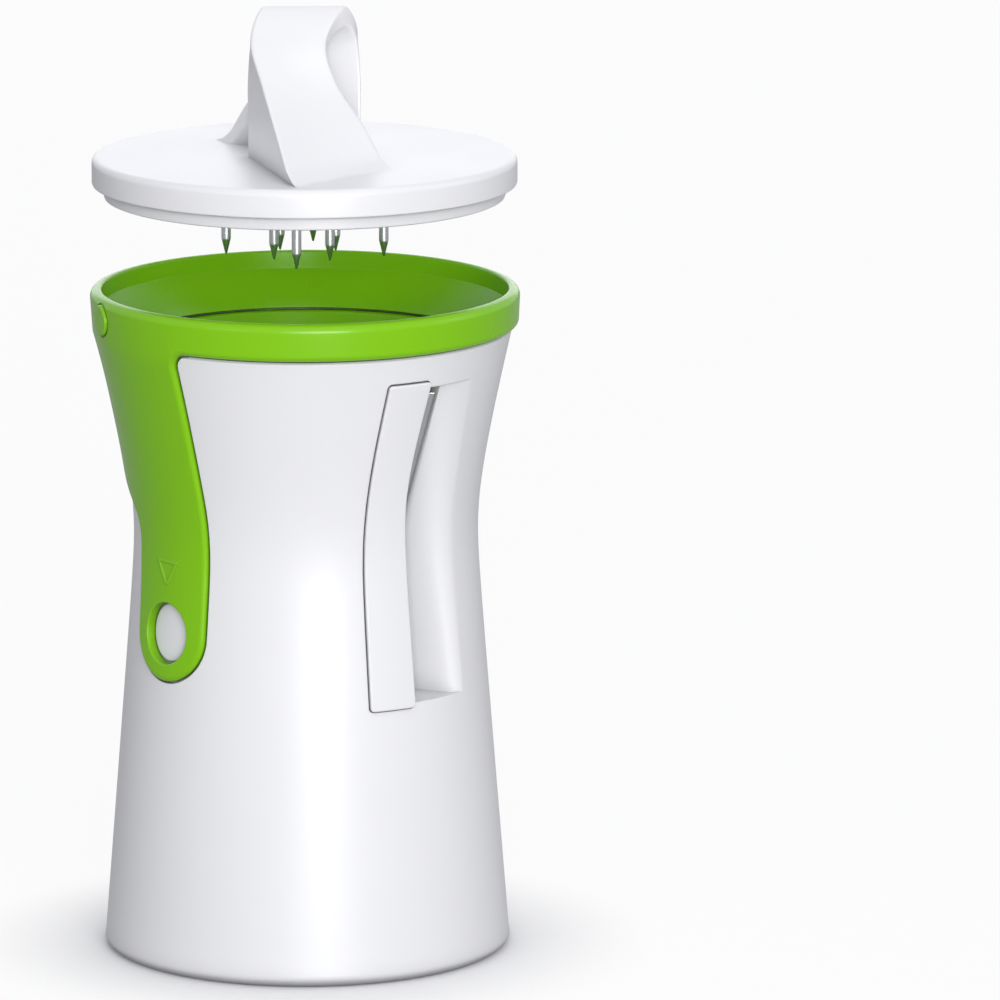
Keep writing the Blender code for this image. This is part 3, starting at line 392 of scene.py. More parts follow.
def plastic_material(name, colour, edge_highlight_colour, roughness, gloss, flow):
    material, nodes = material_with_nodes(name)
    skin = group_node(nodes, moulded_skin, {
        "Roughness": roughness, "Rubbing": RUBBING, "Flow": flow})
    edges = group_node(nodes, soft_edges, {})
    # Painted highlight: the colour is lifted towards the edge colour along edges and rims.
    painted_edge_highlight = mixed_colour(nodes, edges["Edge"], colour, edge_highlight_colour)
    # Painted shade: the melt-flow tone times the hollow mask, darker in grooves and gaps.
    shade = math_node(nodes, "MULTIPLY", skin["Shade"], edges["Painted_Shade"])
    fill_sockets(nodes["Principled BSDF"], {
        "Base Color": scaled_colour(nodes, painted_edge_highlight, shade), "Roughness": skin["Roughness"],
        "Normal": bumped(nodes, skin["Height"], 1.0, edges["Normal"]),
        "IOR": PLASTIC_IOR, "Specular IOR Level": gloss})
    return material


FINISHES = {
    # Each plastic's second colour is its painted edge highlight.
    "white_plastic": plastic_material(
        "white_plastic_skin", (0.86, 0.86, 0.875), (0.90, 0.90, 0.91), 0.34, 0.5, 0.03),
    "green_plastic": plastic_material(
        "green_plastic_skin", (0.23, 0.58, 0.006), (0.36, 0.70, 0.05), 0.25, 0.28, 0.05),
}
print("plastics:", ", ".join(FINISHES))

# %% [markdown]
# ## Stainless steel
# The blades and combs are stamped from rolled sheet, so fine lines run along them. A noise
# that is stretched along one direction gives the lines, both as roughness and as height.

# %% Steel materials
LINE_BUMP = 0.25


def steel_material(name, colour, roughness, line_scale):
    material, nodes = material_with_nodes(name)
    place = nodes.new("ShaderNodeTexCoord").outputs["Object"]
    lines = noise_node(nodes, stretched(nodes, place, line_scale), 1.0, 4.0, 0.6)
    stain = noise_node(nodes, place, 120.0, 3.0)
    tone = mapped(nodes, stain, (0, 1), (0.9, 1.06))
    edges = group_node(nodes, soft_edges, {})
    fill_sockets(nodes["Principled BSDF"], {
        "Metallic": 1.0, "Base Color": scaled_colour(nodes, colour, tone),
        "Roughness": mapped(nodes, lines, (0, 1), (roughness - 0.08, roughness + 0.12)),
        "Normal": bumped(nodes, lines, LINE_BUMP, edges["Normal"])})
    return material


FINISHES["blade_steel"] = steel_material(
    "blade_steel_brushed", (0.66, 0.67, 0.69), 0.28, (1400, 1400, 50))
FINISHES["screw_steel"] = steel_material(
    "screw_steel_plated", (0.56, 0.57, 0.60), 0.34, (1500, 1500, 1500))
print("finishes:", ", ".join(FINISHES))

# %% [markdown]
# ## How the pieces are modelled
# Three ways of making a moulding are enough here. A round piece is an outline that is
# spun about the axis. A long piece is a face that is extruded from one cross-section to
# the next. A skin that follows the housing, such as the collar, is made flat first,
# where its outline, holes and rounded edges are easy, and is then rolled up.

# %% Sizes from the frame
housing_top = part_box("outer_body")[1]
collar_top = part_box("collar")[1]
GAP = 0.3 * MM
HOUSING_HEIGHT = housing_top.z
MOUTH_RADIUS = housing_top.y
FOOT_RADIUS = 46.6 * MM
WAIST_RADIUS = 39.3 * MM
WAIST_HEIGHT = HOUSING_HEIGHT - 46.9 * MM
WALL = 2.8 * MM
RIM_HEIGHT = collar_top.z
RIM_RADIUS = collar_top.y
BAND_PROUD = 1.4 * MM
BAND_LOWER_RADIUS = MOUTH_RADIUS + BAND_PROUD
BAND_BOTTOM = HOUSING_HEIGHT + GAP
RIM_WALL = 2.7 * MM
FOOT_SOFTNESS, MOUTH_SOFTNESS = 0.07, 0.38
ROUND = 144
NEAR = 0.01 * MM
SAME_PLACE = 0.002 * MM
ACROSS, UPRIGHT = (1, 0, 0), (0, 0, 1)
print("housing", HOUSING_HEIGHT, MOUTH_RADIUS, "collar", RIM_HEIGHT, RIM_RADIUS)

# %% The hourglass line and a few small helpers


def between(start, end, share):
    return start + (end - start) * share


def share_of(value, start, end):
    return (value - start) / (end - start)


def clamped(share):
    return min(max(share, 0.0), 1.0)


def steps(start, end, count):
    return [between(start, end, i / count) for i in range(count + 1)]


def flare(share, softness):
    """0 at the waist, 1 at the end, with a soft bend at the waist."""
    return (hypot(share, softness) - softness) / (hypot(1.0, softness) - softness)


def housing_radius(z):
    if z < WAIST_HEIGHT:
        end, share, softness = FOOT_RADIUS, (WAIST_HEIGHT - z) / WAIST_HEIGHT, FOOT_SOFTNESS
    else:
        end, share, softness = MOUTH_RADIUS, share_of(z, WAIST_HEIGHT, HOUSING_HEIGHT), MOUTH_SOFTNESS
    return between(WAIST_RADIUS, end, flare(share, softness))


def arc(centre, radius_a, radius_b, start, end, count):
    return [(centre[0] + radius_a * cos(angle), centre[1] + radius_b * sin(angle))
            for angle in steps(start, end, count)]


def circle(centre, radius, count):
    return arc(centre, radius, radius, 0, 2 * pi, count)[:-1]


def soft_corner(radius, z, out, up):
    """Three points round a corner of a profile, from its upright side to its level one."""
    return [(radius, z + up), (radius + 0.3 * out, z + 0.3 * up), (radius + out, z)]


def quadratic(start, bend, end, count):
    """A curve that leaves start towards bend and comes from there to end."""
    return [start * (1 - t) ** 2 + bend * 2 * t * (1 - t) + end * t * t
            for t in steps(0.0, 1.0, count)]


def smooth_line(points, count):
    """A smooth curve through the points, with a number of steps on each stretch."""
    padded = [points[0], *points, points[-1]]
    line = []
    for before, start, end, after in zip(padded, padded[1:], padded[2:], padded[3:]):
        for i in range(count):
            t = i / count
            line.append(tuple(
                0.5 * (2 * b + (c - a) * t + (2 * a - 5 * b + 4 * c - d) * t * t
                       + (3 * b - a - 3 * c + d) * t ** 3)
                for a, b, c, d in zip(before, start, end, after)))
    return line + [tuple(points[-1])]


print("waist", round(housing_radius(WAIST_HEIGHT), 4), "mouth", round(housing_radius(HOUSING_HEIGHT), 4))

# %% Helpers that draw a piece with Blender's operators


def select_only(item):
    """Selects one object alone and makes it the active one."""
    bpy.ops.object.select_all(action="DESELECT")
    item.select_set(True)
    bpy.context.view_layer.objects.active = item


def open_mesh(item):
    select_only(item)
    bpy.ops.object.mode_set(mode="EDIT")
    bpy.ops.mesh.select_mode(type="VERT")


def close_mesh(tidy=True):
    if tidy:
        bpy.ops.mesh.select_all(action="SELECT")
        bpy.ops.mesh.remove_doubles(threshold=SAME_PLACE)
        bpy.ops.mesh.delete_loose(use_verts=True, use_edges=True, use_faces=False)
        bpy.ops.mesh.select_all(action="SELECT")
        bpy.ops.mesh.normals_make_consistent(inside=False)
    bpy.ops.object.mode_set(mode="OBJECT")


def outline_object(name, points, fill):
    """A circle primitive with one vertex for each point, laid on the points."""
    bpy.ops.object.select_all(action="DESELECT")
    bpy.ops.mesh.primitive_circle_add(vertices=len(points), radius=1, fill_type=fill)
    item = bpy.context.object
    item.name = name
    for vertex, point in zip(item.data.vertices, points):
        vertex.co = point
    return item


def spun(name, profile, sides=ROUND):
    """A round piece from a closed outline of (radius, height) points."""
    item = outline_object(name, [(radius, 0, height) for radius, height in profile], "NOTHING")
    open_mesh(item)
    bpy.ops.mesh.select_all(action="SELECT")
    bpy.ops.mesh.spin(steps=sides, angle=2 * pi, center=(0, 0, 0), axis=(0, 0, 1))
    close_mesh()
    return item


def drawn_through(name, rings):
    """A filled outline that is extruded from ring to ring."""
    item = outline_object(name, rings[0], "NGON")
    open_mesh(item)
    mesh = bmesh.from_edit_mesh(item.data)
    turn = mesh.verts.layers.int.new("turn")
    for i, vertex in enumerate(mesh.verts):
        vertex[turn] = i
    bmesh.update_edit_mesh(item.data)
    bpy.ops.mesh.select_all(action="SELECT")
    for ring in rings[1:]:
        bpy.ops.mesh.extrude_region_move()
        mesh = bmesh.from_edit_mesh(item.data)
        turn = mesh.verts.layers.int["turn"]
        for vertex in mesh.verts:
            if vertex.select:
                vertex.co = ring[vertex[turn]]
        bmesh.update_edit_mesh(item.data)
    close_mesh()
    return item


def in_window(half_turn, u, d, z):
    """A point u to the right of a window's middle line and d out from the axis."""
    return (-u, d, z) if half_turn else (u, -d, z)


def drawn_in_window(name, half_turn, heights, outline):
    """A piece drawn through outline(z), a list of (u, d), at each of the heights."""
    return drawn_through(name, [[in_window(half_turn, u, d, z) for u, d in outline(z)]
                                for z in heights])


def pushed(name, outline, near, far, place):
    """An outline pushed from near to far; place turns (a, b, distance) into a point."""
    return drawn_through(name, [[place(a, b, distance) for a, b in outline]
                                for distance in (near, far)])


print("helpers that draw a piece are ready")

# %% Helpers that cut, round and hand over a piece


def mated(item, tool, operation):
    """Joins, cuts or intersects an object with a tool, and uses the tool up."""
    select_only(item)
    modifier = item.modifiers.new(operation, "BOOLEAN")
    modifier.object = tool
    modifier.operation = operation
    modifier.solver = "EXACT"
    bpy.ops.object.modifier_apply(modifier=modifier.name)
    bpy.data.objects.remove(tool, do_unlink=True)


def rounded_edges(item, wanted, width, segments):
    """Bevels the edges that wanted picks by the places of their two ends and their faces."""
    open_mesh(item)
    bpy.ops.mesh.select_all(action="DESELECT")
    bpy.ops.mesh.select_mode(type="EDGE")
    mesh = bmesh.from_edit_mesh(item.data)
    for edge in mesh.edges:
        corner = len(edge.link_faces) == 2 and edge.calc_face_angle(0) > radians(50)
        if corner and wanted(edge.verts[0].co, edge.verts[1].co):
            edge.select = True
    bmesh.update_edit_mesh(item.data)
    bpy.ops.mesh.bevel(offset=width, segments=segments, profile=0.5, affect="EDGES",
                       clamp_overlap=False, loop_slide=False)
    bpy.ops.mesh.select_mode(type="VERT")
    close_mesh()
    return item


def turned_round(item, half_turn):
    """Takes a front piece to the rear, if half_turn says so."""
    if half_turn:
        item.data.transform(Matrix.Rotation(pi, 4, "Z"))
    return item


def slice_up(item, places, direction):
    """Cuts flat faces into strips, so that they can be rolled up."""
    open_mesh(item)
    for place in places:
        bpy.ops.mesh.select_all(action="SELECT")
        bpy.ops.mesh.bisect(plane_co=Vector(direction) * place, plane_no=direction)
    close_mesh()


def smooth_finish(item, angle=32):
    """Smooth shading with sharp edges kept, weighted so that large faces stay calm."""
    select_only(item)
    bpy.ops.object.shade_smooth_by_angle(angle=radians(angle))
    modifier = item.modifiers.new("calm", "WEIGHTED_NORMAL")
    modifier.keep_sharp = True
    modifier.weight = 80
    bpy.ops.object.modifier_apply(modifier=modifier.name)


def hand_over(item, name, slot, body, *nodes):
    """Gives a piece its name, finish and body, and hides the solids that it stands for."""
    item.name = name
    item.data.name = name
    item.data.materials.clear()
    item.data.materials.append(FINISHES[slot])
    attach(item, body)
    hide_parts(*nodes)
    flat = sum(len(face.vertices) - 2 for face in item.data.polygons)
    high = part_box(nodes[0])[1]
    points = [vertex.co for vertex in item.data.vertices]
    off = max(abs(max(p[i] for p in points) - high[i]) for i in range(3))
    print(name, flat, "triangles,", round(off / MM, 2), "mm off its solid's upper corner")


print("helpers that shape a piece are ready")

# %% [markdown]
# ## The collar
# On the real tool the band, its two arms, the pointing marks and the round buttons are one
# green moulding. It could be cut out of a turned ring, but the rounded edge that runs from
# the band down the arms and round their ends would be hard to get. So the moulding is laid
# out flat, gets its holes and edges there, and is rolled up. A skirt and a lead-in cone,
# which are plain round shapes, are spun and joined to it at the end.

# %% Collar: its outline, laid out flat
ARM_HOLE_HEIGHT = HOUSING_HEIGHT - 66.1 * MM
WING_START = HOUSING_HEIGHT - 42.4 * MM
ARM_HALF_WIDTH = 11.8 * MM
ARM_NECK = 10.3 * MM
ARM_CORNER = 3.5 * MM
ARM_END = 11.0 * MM
ARM_PROUD = 1.0 * MM
ARM_THICKNESS = 2.2 * MM
ARM_HOLE_RADIUS = 7.0 * MM
WING_REACH = 42.0 * MM
ROLL_RADIUS = MOUTH_RADIUS
SPARE = radians(5)
ARM_BLEND = 14 * MM
ARM_THINNING = 8 * MM


def arm_outside(z):
    share = clamped((z - (BAND_BOTTOM - ARM_BLEND)) / ARM_BLEND)
    return housing_radius(z) + between(ARM_PROUD, BAND_PROUD, share * share)


def flat_on_arm(sign, points):
    """Where points (across, z) of an arm lie when flat; across is towards the rear."""
    return [(sign * (pi / 2 + asin(across / arm_outside(z))) * ROLL_RADIUS, z)
            for across, z in points]


def arm_line():
    """An arm's outline from the band down its front edge, round its foot and up its wing."""
    corner = arc((-ARM_NECK - ARM_CORNER, BAND_BOTTOM - ARM_CORNER), ARM_CORNER, ARM_CORNER,
                 pi / 2, 0.0, 10)
    edge = smooth_line([
        (-ARM_NECK, BAND_BOTTOM - ARM_CORNER),
        (-between(ARM_NECK, ARM_HALF_WIDTH, 0.45), WING_START + 16 * MM),
        (-between(ARM_NECK, ARM_HALF_WIDTH, 0.95), WING_START),
        (-ARM_HALF_WIDTH, ARM_HOLE_HEIGHT)], 8)
    foot = arc((0.0, ARM_HOLE_HEIGHT), ARM_HALF_WIDTH, ARM_END, pi, 2 * pi, 32)
    wing = smooth_line([
        (ARM_HALF_WIDTH, ARM_HOLE_HEIGHT),
        (ARM_HALF_WIDTH + 0.7 * MM, between(ARM_HOLE_HEIGHT, WING_START, 0.6)),
        (ARM_HALF_WIDTH + 2.3 * MM, WING_START),
        (between(ARM_HALF_WIDTH, WING_REACH, 0.40), WING_START + 7.6 * MM),
        (between(ARM_HALF_WIDTH, WING_REACH, 0.72), between(WING_START, BAND_BOTTOM, 0.40)),
        (between(ARM_HALF_WIDTH, WING_REACH, 0.92), between(WING_START, BAND_BOTTOM, 0.72)),
        (WING_REACH, BAND_BOTTOM)], 8)
    return corner + edge[1:] + foot[1:] + wing[1:]


def collar_outline():
    line = arm_line()
    end = (pi + SPARE) * ROLL_RADIUS
    return ([(-end, BAND_BOTTOM)] + flat_on_arm(-1, reversed(line)) + flat_on_arm(1, line)
            + [(end, BAND_BOTTOM), (end, RIM_HEIGHT), (-end, RIM_HEIGHT)])


def laid_flat(along, z, depth):
    return (along, depth, z)


print("collar outline has", len(collar_outline()), "points")

# %% Collar: the flat moulding with its holes and rounded edges
EDGE_ROUND = 1.4 * MM
RIM_ROUND = 2.0 * MM
RIM_INNER_ROUND = RIM_WALL - RIM_ROUND - 0.1 * MM
HOLE_ROUND = 0.35 * MM
INNER_ROUND = 0.25 * MM


def is_outer(a, b):
    return abs(a.y) < NEAR and abs(b.y) < NEAR


def is_inner(a, b):
    return abs(a.y - RIM_WALL) < NEAR and abs(b.y - RIM_WALL) < NEAR


def in_hole(point):
    centre = (pi / 2) * ROLL_RADIUS
    return hypot(abs(point.x) - centre, point.z - ARM_HOLE_HEIGHT) < ARM_HOLE_RADIUS * 1.3


def on_top(a, b):
    return min(a.z, b.z) > RIM_HEIGHT - NEAR


def off_the_ends(a, b):
    """Whether an edge isn't at the layout's two ends, which are trimmed off later."""
    end = (pi + SPARE / 2) * ROLL_RADIUS
    return max(abs(a.x), abs(b.x)) < end or abs(a.x - b.x) > ROLL_RADIUS


def below_the_band(a, b):
    return max(a.z, b.z) < BAND_BOTTOM + NEAR and off_the_ends(a, b)


def make_flat_collar():
    plate = pushed("plate", collar_outline(), RIM_WALL, 0.0, laid_flat)
    for sign in (-1, 1):
        outline = flat_on_arm(sign, circle((0.0, ARM_HOLE_HEIGHT), ARM_HOLE_RADIUS, 48))
        mated(plate, pushed("hole", outline, 2 * RIM_WALL, -RIM_WALL, laid_flat), "DIFFERENCE")
    rounded_edges(plate, lambda a, b: on_top(a, b) and is_outer(a, b), RIM_ROUND, 8)
    rounded_edges(plate, lambda a, b: on_top(a, b) and is_inner(a, b), RIM_INNER_ROUND, 4)
    rounded_edges(plate, lambda a, b: is_outer(a, b) and below_the_band(a, b) and not in_hole(a),
                  EDGE_ROUND, 6)
    rounded_edges(plate, lambda a, b: is_outer(a, b) and in_hole(a), HOLE_ROUND, 3)
    rounded_edges(plate, lambda a, b: is_inner(a, b) and below_the_band(a, b), INNER_ROUND, 2)
    return plate


flat_collar = make_flat_collar()
print("flat collar", len(flat_collar.data.polygons), "faces")

# %% Collar: the pointing mark and the round buttons, also flat
MARK_HEIGHT = HOUSING_HEIGHT - 52.0 * MM
MARK_WIDTH = 8.8 * MM
MARK_LINE = 0.8 * MM
MARK_PROUD = 0.35 * MM
BUTTON_RADIUS = 3.5 * MM
BUTTON_PROUD = 0.6 * MM
BUTTON_ANGLE = radians(19.7)
BUTTON_GROOVE = 0.45 * MM
BUTTON_ROUND = 0.4 * MM


def inset_outline(points, distance):
    """The outline moved inwards; it runs anticlockwise."""
    result = []
    for i, point in enumerate(points):
        back = (Vector(point) - Vector(points[i - 1])).normalized()
        ahead = (Vector(points[(i + 1) % len(points)]) - Vector(point)).normalized()
        middle = (back + ahead).normalized()
        inward = Vector((-middle.y, middle.x))
        result.append(tuple(Vector(point) + inward * distance / max(0.5, middle.dot(ahead))))
    return result


def flat_mark(sign):
    low, high = MARK_HEIGHT - MARK_WIDTH * 0.32, MARK_HEIGHT + MARK_WIDTH * 0.32
    tip = MARK_LINE * 0.75
    triangle = [(-tip, low), (tip, low), (MARK_WIDTH / 2, high), (-MARK_WIDTH / 2, high)]
    centre = sign * (pi / 2) * ROLL_RADIUS
    outline = [(centre + across, z) for across, z in triangle]
    mark = pushed("mark", outline, RIM_WALL / 3, -MARK_PROUD, laid_flat)
    inner = pushed("inner", inset_outline(outline, MARK_LINE), RIM_WALL, -RIM_WALL, laid_flat)
    mated(mark, inner, "DIFFERENCE")

    def is_crest(a, b):
        return max(a.y, b.y) < -MARK_PROUD * 0.9

    return rounded_edges(mark, is_crest, 0.15 * MM, 2)


def flat_disc(sign, radius, near, far):
    centre = sign * (pi / 2 + BUTTON_ANGLE) * ROLL_RADIUS
    height = between(BAND_BOTTOM, RIM_HEIGHT, 0.45)
    return pushed("disc", circle((centre, height), radius, 40), near, far, laid_flat)


def add_marks_and_buttons(plate):
    for sign in (-1, 1):
        mated(plate, flat_mark(sign), "UNION")
        groove = flat_disc(sign, BUTTON_RADIUS + BUTTON_GROOVE, BUTTON_GROOVE, -RIM_WALL)
        mated(plate, groove, "DIFFERENCE")
        button = flat_disc(sign, BUTTON_RADIUS, RIM_WALL / 2, -BUTTON_PROUD)
        rounded_edges(button, lambda a, b: max(a.y, b.y) < -BUTTON_PROUD * 0.9, BUTTON_ROUND, 3)
        mated(plate, button, "UNION")


add_marks_and_buttons(flat_collar)
print("with marks and buttons", len(flat_collar.data.polygons), "faces")

# %% Collar: roll it up and join the skirt
LEAD_DROP = 4.0 * MM
LEAD_LENGTH = 6.0 * MM
SKIRT_DEPTH = 4.2 * MM
SKIRT_WALL = 1.7 * MM


def rolled(item, outside, thickness):
    """Rolls a flat piece round the axis; outside gives its outer radius at a height."""
    for vertex in item.data.vertices:
        angle = vertex.co.x / ROLL_RADIUS
        radius = outside(vertex.co.z) - vertex.co.y * thickness(vertex.co.z)
        vertex.co = (radius * sin(angle), -radius * cos(angle), vertex.co.z)
    return item


def collar_outside(z):
    if z < BAND_BOTTOM:
        return arm_outside(z)
    return between(BAND_LOWER_RADIUS, RIM_RADIUS, share_of(z, BAND_BOTTOM, RIM_HEIGHT))


def collar_thickness(z):
    return between(1.0, ARM_THICKNESS / RIM_WALL, clamped((BAND_BOTTOM - z) / ARM_THINNING))


def trim_at_the_seam(item):
    open_mesh(item)
    for sign in (-1, 1):
        bpy.ops.mesh.select_all(action="SELECT")
        bpy.ops.mesh.bisect(plane_co=(sign * pi * ROLL_RADIUS, 0, 0), plane_no=(sign, 0, 0),
                            clear_outer=True)
    close_mesh(tidy=False)


def collar_skirt():
    lead_top = RIM_HEIGHT - LEAD_DROP
    low = BAND_BOTTOM - SKIRT_DEPTH
    outer_low, outer_high = [housing_radius(z) - WALL - GAP for z in (low, BAND_BOTTOM)]
    return spun("skirt", [
        (RIM_RADIUS - RIM_WALL + 0.6 * MM, lead_top + 0.2 * MM),
        (RIM_RADIUS - RIM_WALL - 0.3 * MM, lead_top - 0.2 * MM),
        (outer_high - 1.8 * MM, lead_top - LEAD_LENGTH),
        (outer_low - SKIRT_WALL, low + 0.3 * MM),
        (outer_low - SKIRT_WALL + 0.3 * MM, low),
        (outer_low - 0.3 * MM, low),
        (outer_low, low + 0.3 * MM),
        (outer_high, BAND_BOTTOM + 0.3 * MM),
        (BAND_LOWER_RADIUS - RIM_WALL / 2, BAND_BOTTOM + 0.3 * MM),
    ])


def make_collar(plate):
    slice_up(plate, steps(-pi * ROLL_RADIUS, pi * ROLL_RADIUS, 120)[1:-1], ACROSS)
    slice_up(plate, steps(ARM_HOLE_HEIGHT - ARM_END, BAND_BOTTOM - 1.0 * MM, 26)[1:], UPRIGHT)
    trim_at_the_seam(plate)
    rolled(plate, collar_outside, collar_thickness)
    open_mesh(plate)
    close_mesh()
    mated(plate, collar_skirt(), "UNION")
    smooth_finish(plate)
    hand_over(plate, "clip_on_collar", "green_plastic", "housing", "collar")


make_collar(flat_collar)

# %% [markdown]
# ## The fins
# A white fin clips over each blade's edge, so that no finger meets it, and a web behind it
# carries the comb of slitting teeth. The fin is made like the collar: flat, with rounded
# edges, and rolled to the housing's line. The rear fin is made the same way and then turned
# half a turn.

# %% Fins: sizes and the cone that they stand round
WINDOW_TOP = HOUSING_HEIGHT - 7.7 * MM
WINDOW_BOTTOM = WINDOW_TOP - 73.0 * MM
FIN_TOP = WINDOW_TOP + 1.4 * MM
FIN_BOTTOM = WINDOW_BOTTOM - 0.9 * MM
FIN_LEFT_TOP = 12.0 * MM
FIN_LEFT_BOTTOM = 13.8 * MM
FIN_RIGHT_TOP = 1.2 * MM
FIN_RIGHT_WAIST = 3.9 * MM
FIN_RIGHT_BOTTOM = 2.5 * MM
FIN_CORNER = 0.8 * MM
FIN_PROUD = 1.0 * MM
FIN_THICKNESS = 1.9 * MM
FIN_ROUND = 0.45 * MM
FIN_INNER_ROUND = 0.2 * MM
WEB_THICKNESS = 1.8 * MM
COMB_THICKNESS = 0.6 * MM
WINDOW_UPSTREAM = 8.0 * MM
CONE_BOTTOM, CONE_TOP = [corner.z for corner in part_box("funnel")]
CONE_TIP_RADIUS = 9.0 * MM
CONE_MOUTH_RADIUS = MOUTH_RADIUS - 7.4 * MM
CONE_SLOPE = atan((CONE_MOUTH_RADIUS - CONE_TIP_RADIUS) / (CONE_TOP - CONE_BOTTOM))
CONE_WALL_ACROSS = 2.0 * MM / cos(CONE_SLOPE)


def cone_radius(z):
    return CONE_TIP_RADIUS + (z - CONE_BOTTOM) * tan(CONE_SLOPE)


print("cone's mouth", round(cone_radius(CONE_TOP), 4), "tip", round(cone_radius(CONE_BOTTOM), 4))

# %% Fins: the flat fin, its web and the roll


def fin_outline():
    """The fin as (u, z), anticlockwise from its lower left."""
    height = FIN_TOP - FIN_BOTTOM
    right = smooth_line([
        (-FIN_RIGHT_BOTTOM, FIN_BOTTOM + FIN_CORNER),
        (-between(FIN_RIGHT_BOTTOM, FIN_RIGHT_WAIST, 0.5), FIN_BOTTOM + height * 0.4),
        (-FIN_RIGHT_WAIST, FIN_BOTTOM + height * 0.68),
        (-FIN_RIGHT_TOP, FIN_TOP - FIN_CORNER)], 9)
    left = smooth_line([
        (-FIN_LEFT_TOP, FIN_TOP - FIN_CORNER),
        (-between(FIN_LEFT_TOP, FIN_LEFT_BOTTOM, 0.8), FIN_BOTTOM + height * 0.64),
        (-FIN_LEFT_BOTTOM, FIN_BOTTOM + FIN_CORNER)], 9)
    lower_left, lower_right, upper_right, upper_left = [
        arc((u, z), FIN_CORNER, FIN_CORNER, start * pi / 2, (start + 1) * pi / 2, 4)
        for u, z, start in (
            (-FIN_LEFT_BOTTOM + FIN_CORNER, FIN_BOTTOM + FIN_CORNER, 2),
            (-FIN_RIGHT_BOTTOM - FIN_CORNER, FIN_BOTTOM + FIN_CORNER, 3),
            (-FIN_RIGHT_TOP - FIN_CORNER, FIN_TOP - FIN_CORNER, 0),
            (-FIN_LEFT_TOP + FIN_CORNER, FIN_TOP - FIN_CORNER, 1))]
    return (lower_left[1:] + lower_right[:-1] + right + upper_right[1:] + upper_left[:-1]
            + left)


def flat_fin():
    return [(asin(u / fin_outside(z)) * ROLL_RADIUS, z) for u, z in fin_outline()]


def comb_line(z):
    """How far out the comb's strip lies at a height, on a straight line."""
    low, high = WINDOW_BOTTOM + 2 * GAP, WINDOW_TOP - 2 * GAP

    def on_cone(height):
        outer = cone_radius(height) + CONE_WALL_ACROSS
        return sqrt(outer ** 2 - (WINDOW_UPSTREAM - 2.0 * MM) ** 2) + GAP
    return between(on_cone(low), on_cone(high), share_of(z, low, high))


def fin_outside(z):
    return housing_radius(z) + FIN_PROUD


def make_fin(name, half_turn, node):
    fin = pushed("fin", flat_fin(), FIN_THICKNESS, 0.0, laid_flat)
    rounded_edges(fin, is_outer, FIN_ROUND, 4)
    rounded_edges(fin, lambda a, b: min(a.y, b.y) > FIN_THICKNESS - NEAR, FIN_INNER_ROUND, 2)
    slice_up(fin, steps(-18 * MM, 0, 16), ACROSS)
    slice_up(fin, steps(FIN_BOTTOM, FIN_TOP, 28)[1:-1], UPRIGHT)
    rolled(fin, fin_outside, lambda z: 1.0)
    left = GAP - WINDOW_UPSTREAM
    right = left + WEB_THICKNESS

    def web_outline(z):
        inner = comb_line(z) + COMB_THICKNESS + GAP
        outer = sqrt(housing_radius(z) ** 2 - left ** 2) - FIN_PROUD / 2
        return [(left, inner), (left, outer), (right, outer), (right, inner)]

    heights = steps(WINDOW_BOTTOM + GAP, WINDOW_TOP - GAP, 24)
    mated(fin, drawn_in_window("web", False, heights, web_outline), "UNION")
    smooth_finish(turned_round(fin, half_turn))
    hand_over(fin, name, "white_plastic", "housing", node)


make_fin("front_fin", False, "front_guard")
make_fin("rear_fin", True, "rear_guard")

# %% [markdown]
# ## The housing
# The shell is spun from its hourglass line. Each window is a room that is cut through the
# shell and through a block of walls behind it: a ramp lets the strands slide out, and the
# block is trimmed so that the cutting cone can be lifted out. The beds for the collar's
# arms and for the fins are cut last, a hair wider than the pieces that lie in them.

# %% Housing: the blade plane and the ramp
BLADE_EDGE_UPSTREAM = 5.0 * MM
BLADE_ANGLE = radians(35)
BLADE_BITE = 1.5 * MM
LAND_END = 10.2 * MM * cos(BLADE_ANGLE) - BLADE_EDGE_UPSTREAM + GAP
BLADE_TOP = WINDOW_TOP - 2.3 * MM
FLANGE_BOTTOM = CONE_TOP - 1.8 * MM
DEEP = 2 * BLADE_BITE
FAR_OUT = RIM_RADIUS * 1.3
DUCT_WALL = 2.0 * MM
RAMP_END_LOW, RAMP_END_HIGH = radians(19.7), radians(16.5)
RAMP_DIVE = radians(9)
RAMP_LEAD = 6.5 * MM


def edge_distance(z):
    """How far out the cutting edge lies at a height."""
    def on_cone(height):
        return sqrt(cone_radius(height) ** 2 - BLADE_EDGE_UPSTREAM ** 2) - BLADE_BITE
    return between(on_cone(WINDOW_BOTTOM), on_cone(WINDOW_TOP),
                   share_of(z, WINDOW_BOTTOM, WINDOW_TOP))


EDGE_LEAN = atan((edge_distance(WINDOW_TOP) - edge_distance(WINDOW_BOTTOM))
                 / (WINDOW_TOP - WINDOW_BOTTOM))


def blade_plane(u, z):
    return edge_distance(z) + (u + BLADE_EDGE_UPSTREAM) * tan(BLADE_ANGLE) / cos(EDGE_LEAN)


def ramp_line(z):
    """The ramp at a height, from the blade's back edge to the housing's skin."""
    start = Vector((LAND_END, blade_plane(LAND_END, z)))
    angle = between(RAMP_END_LOW, RAMP_END_HIGH, share_of(z, WINDOW_BOTTOM, WINDOW_TOP))
    radius = housing_radius(z)
    end = Vector((radius * sin(angle), radius * cos(angle)))
    dive = angle - RAMP_DIVE
    lead = Vector((-cos(dive), sin(dive))) * RAMP_LEAD
    return quadratic(start, end + lead, end, 14) + [end - lead.normalized() * FIN_THICKNESS]


def moved_aside(line, distance):
    """The line moved to its right-hand side."""
    result = []
    for i, point in enumerate(line):
        ahead = (line[min(i + 1, len(line) - 1)] - line[max(i - 1, 0)]).normalized()
        result.append(point + Vector((ahead.y, -ahead.x)) * distance)
    return result


print("cutting edge leans", round(EDGE_LEAN * 180 / pi, 1), "degrees")

# %% Housing: the rooms of the windows


